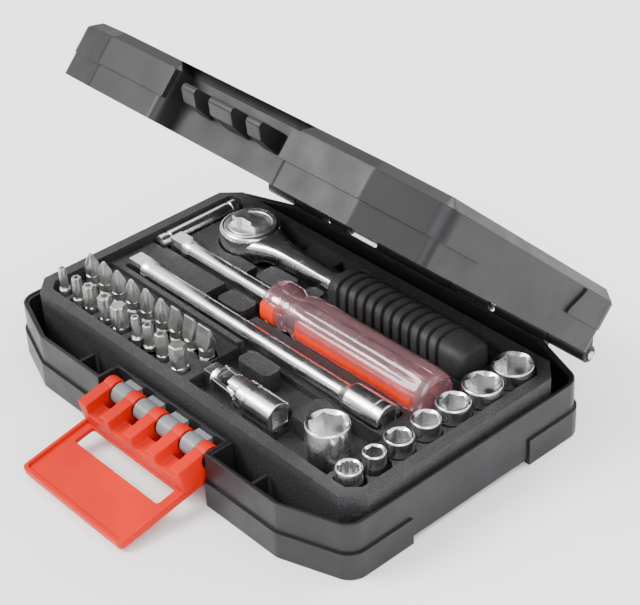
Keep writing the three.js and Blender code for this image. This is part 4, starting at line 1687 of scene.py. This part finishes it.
# ---------------------------------------------------------------- ratchet
@dataclass
class Ratchet:
    """Reversible ratchet with a ribbed rubber grip."""

    head_radius: float = 12.5
    head_low: float = 20
    head_high: float = 33.4
    ring_radius: float = 10.6
    dial_radius: float = 8.7
    lever_height: float = 2.2
    neck_half: float = 4.6
    neck_power: float = 0.72
    grip_power: float = 0.62
    rib_bow: float = 2.4
    rib_count: int = 12
    rib_depth: float = 0.15
    groove_share: float = 0.42
    drive: DriveSquare = field(default_factory=DriveSquare)

    def body(self, x: float, y: float, z: float) -> Piece:
        """Head with a rounded rim, running into the neck.

        Args:
            x: Head centre, along.
            y: Head centre, across.
            z: Height of the handle's axis.

        Returns:
            The piece.
        """
        r, low, high, well = self.head_radius, self.head_low, self.head_high, self.ring_radius
        profile = [
            (0, low), (6.2, low), (6.2, low + 0.5), (r - 1.6, low + 0.5), (r - 0.5, low + 1.1),
            (r, low + 2.2), (r, high - 2.4), (r - 0.25, high - 1.2), (r - 0.8, high - 0.4),
            (r - 1.4, high - 0.1), (well, high - 0.3), (well, high - 1.3), (0, high - 1.3),
        ]
        head = turned("ratchet_body_visual", profile, (x, y, 0), Run.UP, 72)
        grip = span("ratchet_grip")
        stations = [
            (x + 4, 10.2, 4.6), (x + 8, 9.6, 4.9), (x + 12, 8.2, 5.0), (x + 16, 6.6, 4.9),
            (x + 20, 5.5, 4.6), (x + 25, 4.9, 4.3), (x + 32, self.neck_half, 4.1),
            (grip.low.x - 5, self.neck_half, 4.1), (grip.low.x + 2, self.neck_half + 0.3, 4.3),
        ]
        sections = []
        for along, half_width, half_height in stations:
            outline = oval_outline(y, z, half_width, half_height, self.neck_power, 30)
            sections.append((outline, along))
        neck = lofted("neck", sections, Plane.YZ)
        return gather(head, neck)

    def ring(self, x: float, y: float) -> Piece:
        """Retaining ring round the dial."""
        inner, outer, high = self.dial_radius + 0.25, self.ring_radius - 0.1, self.head_high
        profile = [
            (inner, high - 1.4), (outer, high - 1.4), (outer, high - 0.5),
            (outer - 0.35, high - 0.1), (inner + 0.35, high - 0.1), (inner, high - 0.5),
        ]
        return turned("retaining_ring_visual", profile, (x, y, 0), Run.UP, 72)

    def dial(self, x: float, y: float) -> Piece:
        """Dished dial with a two-winged lever."""
        r, high = self.dial_radius, self.head_high
        profile = [
            (0, high - 2.4), (r, high - 2.4), (r, high - 0.7), (r - 0.5, high - 0.35),
            (r - 1.1, high - 0.5), (r - 1.6, high - 0.8), (0, high - 0.8),
        ]
        plate = turned("direction_dial_visual", profile, (x, y, 0), Run.UP, 64)
        half = r - 1.7
        wing = 3.3
        outline = [
            (x - half, y - wing), (x - half + 2.4, y - wing), (x - half + 4.2, y - 1.7),
            (x + half - 4.2, y - 1.7), (x + half - 2.4, y - wing), (x + half, y - wing),
            (x + half + 0.8, y), (x + half, y + wing), (x + half - 2.4, y + wing),
            (x + half - 4.2, y + 1.7), (x - half + 4.2, y + 1.7), (x - half + 2.4, y + wing),
            (x - half, y + wing), (x - half - 0.8, y),
        ]
        top = high + self.lever_height - 0.1
        lever = slab("lever", outline, high - 1.2, top)
        return gather(plate, soften(lever, 0.3, 2, 40))

    def grip(self) -> Piece:
        """Rubber grip with bowed ribs."""
        place = span("ratchet_grip")
        half_y, half_z, length = place.size.y / 2, place.size.z / 2, place.size.x
        y, z = place.centre.y, place.centre.z
        rounds: list[tuple[float, float]] = [
            (0, 0.70), (0.5, 0.80), (1.4, 0.90), (2.8, 0.96), (4.5, 1.0)
        ]
        ribbed = length - 15
        pitch = ribbed / self.rib_count
        for i in range(self.rib_count):
            start = 6 + i * pitch
            end = start + pitch * self.groove_share
            floor = 1 - self.rib_depth
            rounds += [
                (start, 1.0), (start + 0.25, 1 - self.rib_depth * 0.35), (start + 0.5, floor),
                (end - 0.5, floor), (end - 0.25, 1 - self.rib_depth * 0.35), (end, 1.0),
            ]
        rounds += [
            (length - 6, 1.0), (length - 3, 0.97), (length - 1.2, 0.90), (length - 0.3, 0.78),
            (length, 0.66),
        ]
        sections = []
        for along, scale in rounds:
            outline = oval_outline(y, z, half_y * scale, half_z * scale, self.grip_power, 36)
            sections.append((outline, place.low.x + along))
        grip = lofted("ratchet_grip_visual", sections, Plane.YZ)
        for vertex in grip.data.vertices:
            along = vertex.co.x / MM - place.low.x
            hold = min(1, max(0, (along - 4.5) / 3), max(0, (length - 6 - along) / 3))
            side = (vertex.co.y / MM - y) / half_y
            vertex.co.x += hold * self.rib_bow * (side * side - 0.4) * MM * 0.8
        return grip

    def build(self, shop: Workshop) -> None:
        """Make and deliver the ratchet's pieces.

        Args:
            shop: Workshop that dresses them.
        """
        centre = span("direction_dial").centre
        x, y, z = centre.x, centre.y, span("ratchet_grip").centre.z
        body = polish(self.body(x, y, z), 40)
        shop.deliver(body, Body.RATCHET, CHROME, ["ratchet_body", "ratchet_pawl"])
        shop.deliver(polish(self.ring(x, y)), Body.RATCHET, DIAL_STEEL, ["retaining_ring"])
        shop.deliver(polish(self.dial(x, y)), Body.DIAL, DIAL_STEEL, ["direction_dial"])
        shop.deliver(polish(self.grip(), 50), Body.RATCHET, RUBBER, ["ratchet_grip"])
        gear = span("ratchet_drive_gear")
        square = self.drive.male((x, y, gear.low.z), 8.4, Run.UP, 3.6)
        square.name = "ratchet_drive_square"
        shop.deliver(polish(square), Body.GEAR, CHROME, ["ratchet_drive_gear"])


# ---------------------------------------------------------------- spinner handle
@dataclass
class Spinner:
    """Clear fluted screwdriver handle with a drive square shank."""

    lobes: int = 8
    flute: float = 0.9
    arc: tuple[float, float] = (150, 200)
    core_radii: tuple[float, float] = (4.7, 9.5)
    drive: DriveSquare = field(default_factory=DriveSquare)

    def handle(self) -> Piece:
        """Fluted handle with a plain collar."""
        place = span("spinner_handle")
        r, length = place.size.z / 2, place.size.x
        y, z, start = place.centre.y, place.centre.z, place.low.x
        stations = [
            (0, 0.72, 1), (0.5, 0.82, 1), (1.5, 0.90, 1), (3, 0.94, 1), (8.4, 0.94, 1),
            (10, 0.90, 1), (11.6, 0.84, 1), (13.4, 0.82, 1), (15.4, 0.84, 0.995),
            (17.6, 0.92, 0.98), (20, 0.98, 0.95), (23, 1.0, self.flute), (30, 1.0, self.flute),
            (length - 12, 1.0, self.flute), (length - 7, 0.995, 0.94), (length - 4, 0.965, 0.96),
            (length - 2, 0.91, 0.98), (length - 0.7, 0.82, 0.995), (length, 0.66, 1),
        ]
        sections = []
        for along, scale, waist in stations:
            tip = r * scale
            outline = star_outline(y, z, tip, tip * waist, self.lobes, 0.6, 22.5)
            sections.append((outline, start + along))
        return lofted("spinner_handle_visual", sections, Plane.YZ)

    def sector(self, radii: tuple[float, float], start: float, end: float) -> Piece:
        """Sector round the handle's axis over the insert's arc.

        Args:
            radii: Inner and outer radius.
            start: Where it starts along X.
            end: Where it ends along X.

        Returns:
            The sector.
        """
        centre = span("spinner_handle").centre
        low, high = self.arc
        turns = [math.radians(low + (high - low) * i / 12) for i in range(13)]
        rows = [(radii[1], turns), (radii[0], list(reversed(turns)))]
        outline = [
            (centre.y + r * math.cos(a), centre.z + r * math.sin(a)) for r, row in rows for a in row
        ]
        return soften(slab("spinner_core_visual", outline, start, end, Plane.YZ), 0.5, 3, 40)

    def core(self) -> Piece:
        """Orange insert along the grip and its button in the collar."""
        place = span("spinner_handle")
        inner, outer = self.core_radii
        stripe = self.sector((inner, outer), place.low.x + 21, place.high.x - 5)
        button = self.sector((inner, outer), place.low.x + 1.2, place.low.x + 9)
        return gather(stripe, button)

    def shank(self) -> Piece:
        """Steel shank with a shouldered end and a drive square."""
        place = span("spinner_shank")
        handle = span("spinner_handle")
        knee = handle.low.x - place.low.x
        r = 3.2
        profile = [
            (0, 7.8), (3.0, 7.8), (3.7, 8.6), (3.7, 11.5), (r, 12.6), (r, knee - 4),
            (r + 0.7, knee - 3.2), (r + 0.7, knee - 0.4), (r, knee), (r, knee + 66), (0, knee + 66),
        ]
        shank = turned_along(place, profile, "spinner_shank_visual", 36)
        return gather(shank, self.drive.male(place.left, 8.4, Run.ALONG_X, 3.9))

    def build(self, shop: Workshop) -> None:
        """Make and deliver the spinner's pieces.

        Args:
            shop: Workshop that dresses them.
        """
        shop.deliver(polish(self.handle(), 40), Body.SPINNER, CLEAR, ["spinner_handle"])
        shop.deliver(polish(self.core()), Body.SPINNER, ORANGE, ["spinner_core"])
        shop.deliver(polish(self.shank()), Body.SPINNER, CHROME, ["spinner_shank"])


# ---------------------------------------------------------------- sockets
@dataclass
class Socket:
    """One socket standing on its drive end."""

    node: str
    body: Body
    flats: float
    star: bool = False
    drive: DriveSquare = field(default_factory=DriveSquare)

    def build(self, shop: Workshop) -> None:
        """Make and deliver the socket.

        Args:
            shop: Workshop that dresses it.
        """
        place = span(self.node)
        x, y, low, high = place.centre.x, place.centre.y, place.low.z, place.high.z
        foot = place.size.x / 2
        radius = self.flats / math.sqrt(3)
        mouth = max(radius + 1.1, 4.2)
        if mouth > foot - 0.6:
            mouth = foot
        waist = low + (high - low) * 0.42
        profile = [
            (0, low), (foot - 0.7, low), (foot - 0.2, low + 0.25), (foot, low + 0.9),
            (foot, low + 3.2), (foot - 0.3, low + 3.6), (foot - 0.3, low + 4.3),
            (foot, low + 4.7), (foot, waist), (mouth, waist + 1.6), (mouth, high - 0.7),
            (mouth - 0.15, high - 0.25), (mouth - 0.45, high), (0, high),
        ]
        socket = turned(self.node + "_visual", profile, (x, y, 0), Run.UP, 56)
        cutters = [self.drive.hole((x, y, low), Run.UP)]
        rim, deep = radius + 0.4, high - 0.1 - 0.2 * radius
        cone = [(0, deep), (0.84 * radius, deep), (rim, high - 0.1), (rim, high + 1), (0, high + 1)]
        cutters.append(turned("cone", cone, (x, y, 0), Run.UP, 56))
        for turn in (0, 30) if self.star else (0,):
            hexagon = round_outline(x, y, radius, 6, 30 + turn)
            cutters.append(slab("mouth", hexagon, high - 12, high + 1))
        through = turned("through", [(0, low - 1), (2, low - 1), (2, high), (0, high)], (x, y, 0))
        cut(socket, *cutters, through)
        shop.deliver(polish(socket), self.body, CHROME, [self.node])


# ---------------------------------------------------------------- bits
class Tip(Enum):
    """Driver tips of the bits."""

    TORX = "torx"
    HEX = "hex"
    CROSS = "cross"
    POZI = "pozi"
    SLOT = "slot"


@dataclass
class Bit:
    """One hexagon-shanked bit standing in the tray."""

    node: str
    tip: Tip
    radius: float
    flats: float = 6.35
    shank: float = 12.4
    reach: float = 9.4

    def shank_piece(self, place: Span) -> Piece:
        """Hexagon shank with chamfered ends and a turned shoulder.

        Args:
            place: Box of the frame's bit.

        Returns:
            The shank.
        """
        x, y, low = place.centre.x, place.centre.y, place.low.z
        wide = flats_outline(x, y, self.flats, 6)
        end = flats_outline(x, y, self.flats - 1.2, 6)
        top = low + self.shank
        name = self.node + "_visual"
        shank = lofted(
            name, [(end, low), (wide, low + 0.6), (wide, top - 0.9), (end, top)]
        )
        return soften(shank, 0.18, 1, 40)

    def stem(self, place: Span) -> Piece:
        """Round neck between the shank and the tip.

        Args:
            place: Box of the frame's bit.

        Returns:
            The neck.
        """
        base, end = place.low.z + self.shank - 0.4, place.high.z - self.reach + 0.6
        bulge = 3.0 if self.tip in (Tip.SLOT, Tip.CROSS, Tip.POZI) else max(self.radius, 2.4)
        profile = [
            (0, base), (2.6, base), (bulge, base + 0.8), (bulge, end - 0.6), (bulge * 0.8, end),
            (0, end),
        ]
        return turned("stem", profile, (place.centre.x, place.centre.y, 0), Run.UP, 24)

    def tip_piece(self, place: Span) -> Piece:
        """Working end of the bit.

        Args:
            place: Box of the frame's bit.

        Returns:
            The tip.
        """
        x, y, high = place.centre.x, place.centre.y, place.high.z
        r = self.radius
        base = high - self.reach
        if self.tip is Tip.TORX:
            rows = [(1.06, base), (1, high - 0.4), (0.88, high)]
            sections = [(star_outline(x, y, r * k, r * k * 0.8, 6, 0.7), z) for k, z in rows]
            tip = lofted("tip", sections)
        elif self.tip is Tip.HEX:
            dome = [(1, base), (1, high - 0.55), (0.95, high - 0.2), (0.84, high)]
            tip = lofted("tip", [(round_outline(x, y, r * k, 6, 0), z) for k, z in dome])
        elif self.tip is Tip.SLOT:
            rows = [
                (2.7, 2.5, base), (max(r, 2.8), 2.1, base + 2.2), (r + 0.2, 1.3, base + 4.6),
                (r, 0.8, base + 7), (r * 0.93, 0.45, high),
            ]
            sections = [
                ([(x - w, y - t), (x + w, y - t), (x + w, y + t), (x - w, y + t)], z)
                for w, t, z in rows
            ]
            tip = soften(lofted("tip", sections), 0.12, 1, 40)
        else:
            power = 1.6 if self.tip is Tip.CROSS else 1.1
            rows = [
                (3.0, 0.9, base), (3.1, 0.7, base + 2.2), (2.9, 0.5, high - 4.8),
                (2.3, 0.42, high - 3.2), (1.4, 0.40, high - 1.4), (0.75, 0.5, high - 0.25),
                (0.35, 0.7, high),
            ]
            sections = [
                (star_outline(x, y, w, w * waist, 4, power, 45), z) for w, waist, z in rows
            ]
            tip = lofted("tip", sections)
        if self.tip in (Tip.TORX, Tip.HEX) and r < 3:
            hole = [(0, high - 2.4), (r * 0.42, high - 2.4), (r * 0.42, high + 1), (0, high + 1)]
            cut(tip, turned("pin_hole", hole, (x, y, 0), Run.UP, 16))
        return tip

    def build(self, shop: Workshop) -> None:
        """Make and deliver the bit.

        Args:
            shop: Workshop that dresses it.
        """
        place = span(self.node)
        bit = gather(self.shank_piece(place), self.stem(place), self.tip_piece(place))
        shop.deliver(polish(bit, 28), Body.BIT_SET, STEEL, [self.node])


# ---------------------------------------------------------------- studio
@dataclass
class Studio:
    """Pale floor, soft lights and the camera, all in millimetres and radians."""

    eye: Point3 = (411.72, -333.62, 402.70)
    azimuth: float = 0.865457
    elevation: float = 0.602991
    roll: float = -0.055217
    focal: float = 97.77
    sky_levels: tuple[float, float] = (0.3, 1.9)

    def camera(self) -> None:
        """Camera at the viewing angle of a seated user, a little to the right."""
        a, e = self.azimuth, self.elevation
        ahead = Vector((-math.sin(a) * math.cos(e), math.cos(a) * math.cos(e), -math.sin(e)))
        right = ahead.cross(Vector((0, 0, 1))).normalized()
        up = right.cross(ahead)
        c, s = math.cos(self.roll), math.sin(self.roll)
        right, up = c * right + s * up, c * up - s * right
        turn = Matrix((right, up, -ahead)).transposed().to_4x4()
        bpy.ops.object.camera_add()
        camera = bpy.context.active_object
        camera.matrix_world = Matrix.Translation(Vector(self.eye) * MM) @ turn
        camera.data.lens = self.focal
        camera.data.sensor_width = 36
        camera.data.clip_start = 0.01
        bpy.context.scene.camera = camera

    def floor(self) -> None:
        """Wide pale floor."""
        bpy.ops.mesh.primitive_plane_add(size=8, location=(0, 0, -0.0001))
        floor = bpy.context.active_object
        floor.name = "studio_floor"
        sheet = NodeSheet("studio_floor")
        sheet.set(Roughness=0.7)
        sheet.colours(sheet.noise(3, 2), (0.93, 0.93, 0.935), (0.95, 0.95, 0.95))
        floor.data.materials.append(sheet.material)

    def light(self, name: str, place: Point3, watts: float, size: float, tint: Point3) -> None:
        """Square area light aimed at the case.

        Args:
            name: Name of the light.
            place: Where it hangs, in millimetres.
            watts: Power.
            size: Side of the square, in millimetres.
            tint: Colour.
        """
        bpy.ops.object.light_add(type="AREA", location=Vector(place) * MM)
        lamp = bpy.context.active_object
        lamp.name = name
        lamp.data.energy = watts
        lamp.data.size = size * MM
        lamp.data.color = tint
        aim = Vector((0, 0, 0.03)) - lamp.location
        lamp.rotation_euler = aim.to_track_quat("-Z", "Y").to_euler()

    def build(self) -> None:
        """Set up the whole studio."""
        self.camera()
        self.floor()
        self.light("key", (-500, -700, 900), 20, 600, (1, 0.99, 0.98))
        self.light("fill", (900, -500, 600), 9, 800, (0.98, 0.99, 1))
        self.light("back", (200, 900, 800), 15, 700, (1, 1, 1))
        self.sky()

    def sky(self) -> None:
        """Soft white surroundings, brighter overhead than at the horizon."""
        world = bpy.data.worlds.new("studio")
        world.use_nodes = True
        tree = world.node_tree
        background = tree.nodes["Background"]
        background.inputs["Color"].default_value = (0.98, 0.99, 1, 1)
        place = tree.nodes.new("ShaderNodeTexCoord").outputs["Generated"]
        parts = tree.nodes.new("ShaderNodeSeparateXYZ")
        level = tree.nodes.new("ShaderNodeMapRange")
        low, high = self.sky_levels
        level.inputs["From Min"].default_value = 0.05
        level.inputs["From Max"].default_value = 0.85
        level.inputs["To Min"].default_value = low
        level.inputs["To Max"].default_value = high
        tree.links.new(place, parts.inputs["Vector"])
        tree.links.new(parts.outputs["Z"], level.inputs["Value"])
        tree.links.new(level.outputs["Result"], background.inputs["Strength"])
        bpy.context.scene.world = world


SOCKET_FLATS = (5.5, 7, 8, 9, 11, 12)

SOCKETS = (
    Socket("bit_adapter_socket", Body.SOCKET_ROW, 6.4, star=True),
    *(Socket(f"socket_{i}", Body.SOCKET_ROW, flats) for i, flats in enumerate(SOCKET_FLATS, 1)),
    Socket("deep_socket", Body.DEEP_SOCKET, 12),
)

BIT_RADII = {
    Tip.TORX: (1.6, 2.0, 2.5, 2.8, 3.2),
    Tip.HEX: (1.7, 2.0, 2.4, 3.4),
    Tip.CROSS: (2.8, 2.8, 2.8),
    Tip.POZI: (2.8, 2.8, 2.8),
    Tip.SLOT: (2.1, 2.9, 3.6),
}

BITS = tuple(
    Bit(f"{tip.value}_bit_{i}", tip, radius)
    for tip, radii in BIT_RADII.items()
    for i, radius in enumerate(radii, 1)
)


def main() -> None:
    """Build the whole set on its frame."""
    logging.basicConfig(level=logging.INFO, format="%(message)s")
    bpy.ops.object.select_all(action="DESELECT")
    shop = Workshop()
    form = CaseForm()
    Studio().build()
    BaseShell(form).build(shop)
    LidShell(form).build(shop)
    shop.deliver(polish(Hinge(form).pin()), Body.BASE, STEEL, ["lid_hinge_pin"])
    Latch().build(shop)
    Tray(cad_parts["tray_insert"]).build(shop)
    for maker in (Extension(), CrossRod(), SwivelJoint(), Ratchet(), Spinner(), *SOCKETS, *BITS):
        maker.build(shop)
    log.info("%d bits and %d sockets are in the tray", len(BITS), len(SOCKETS))


if __name__ == "__main__":
    main()
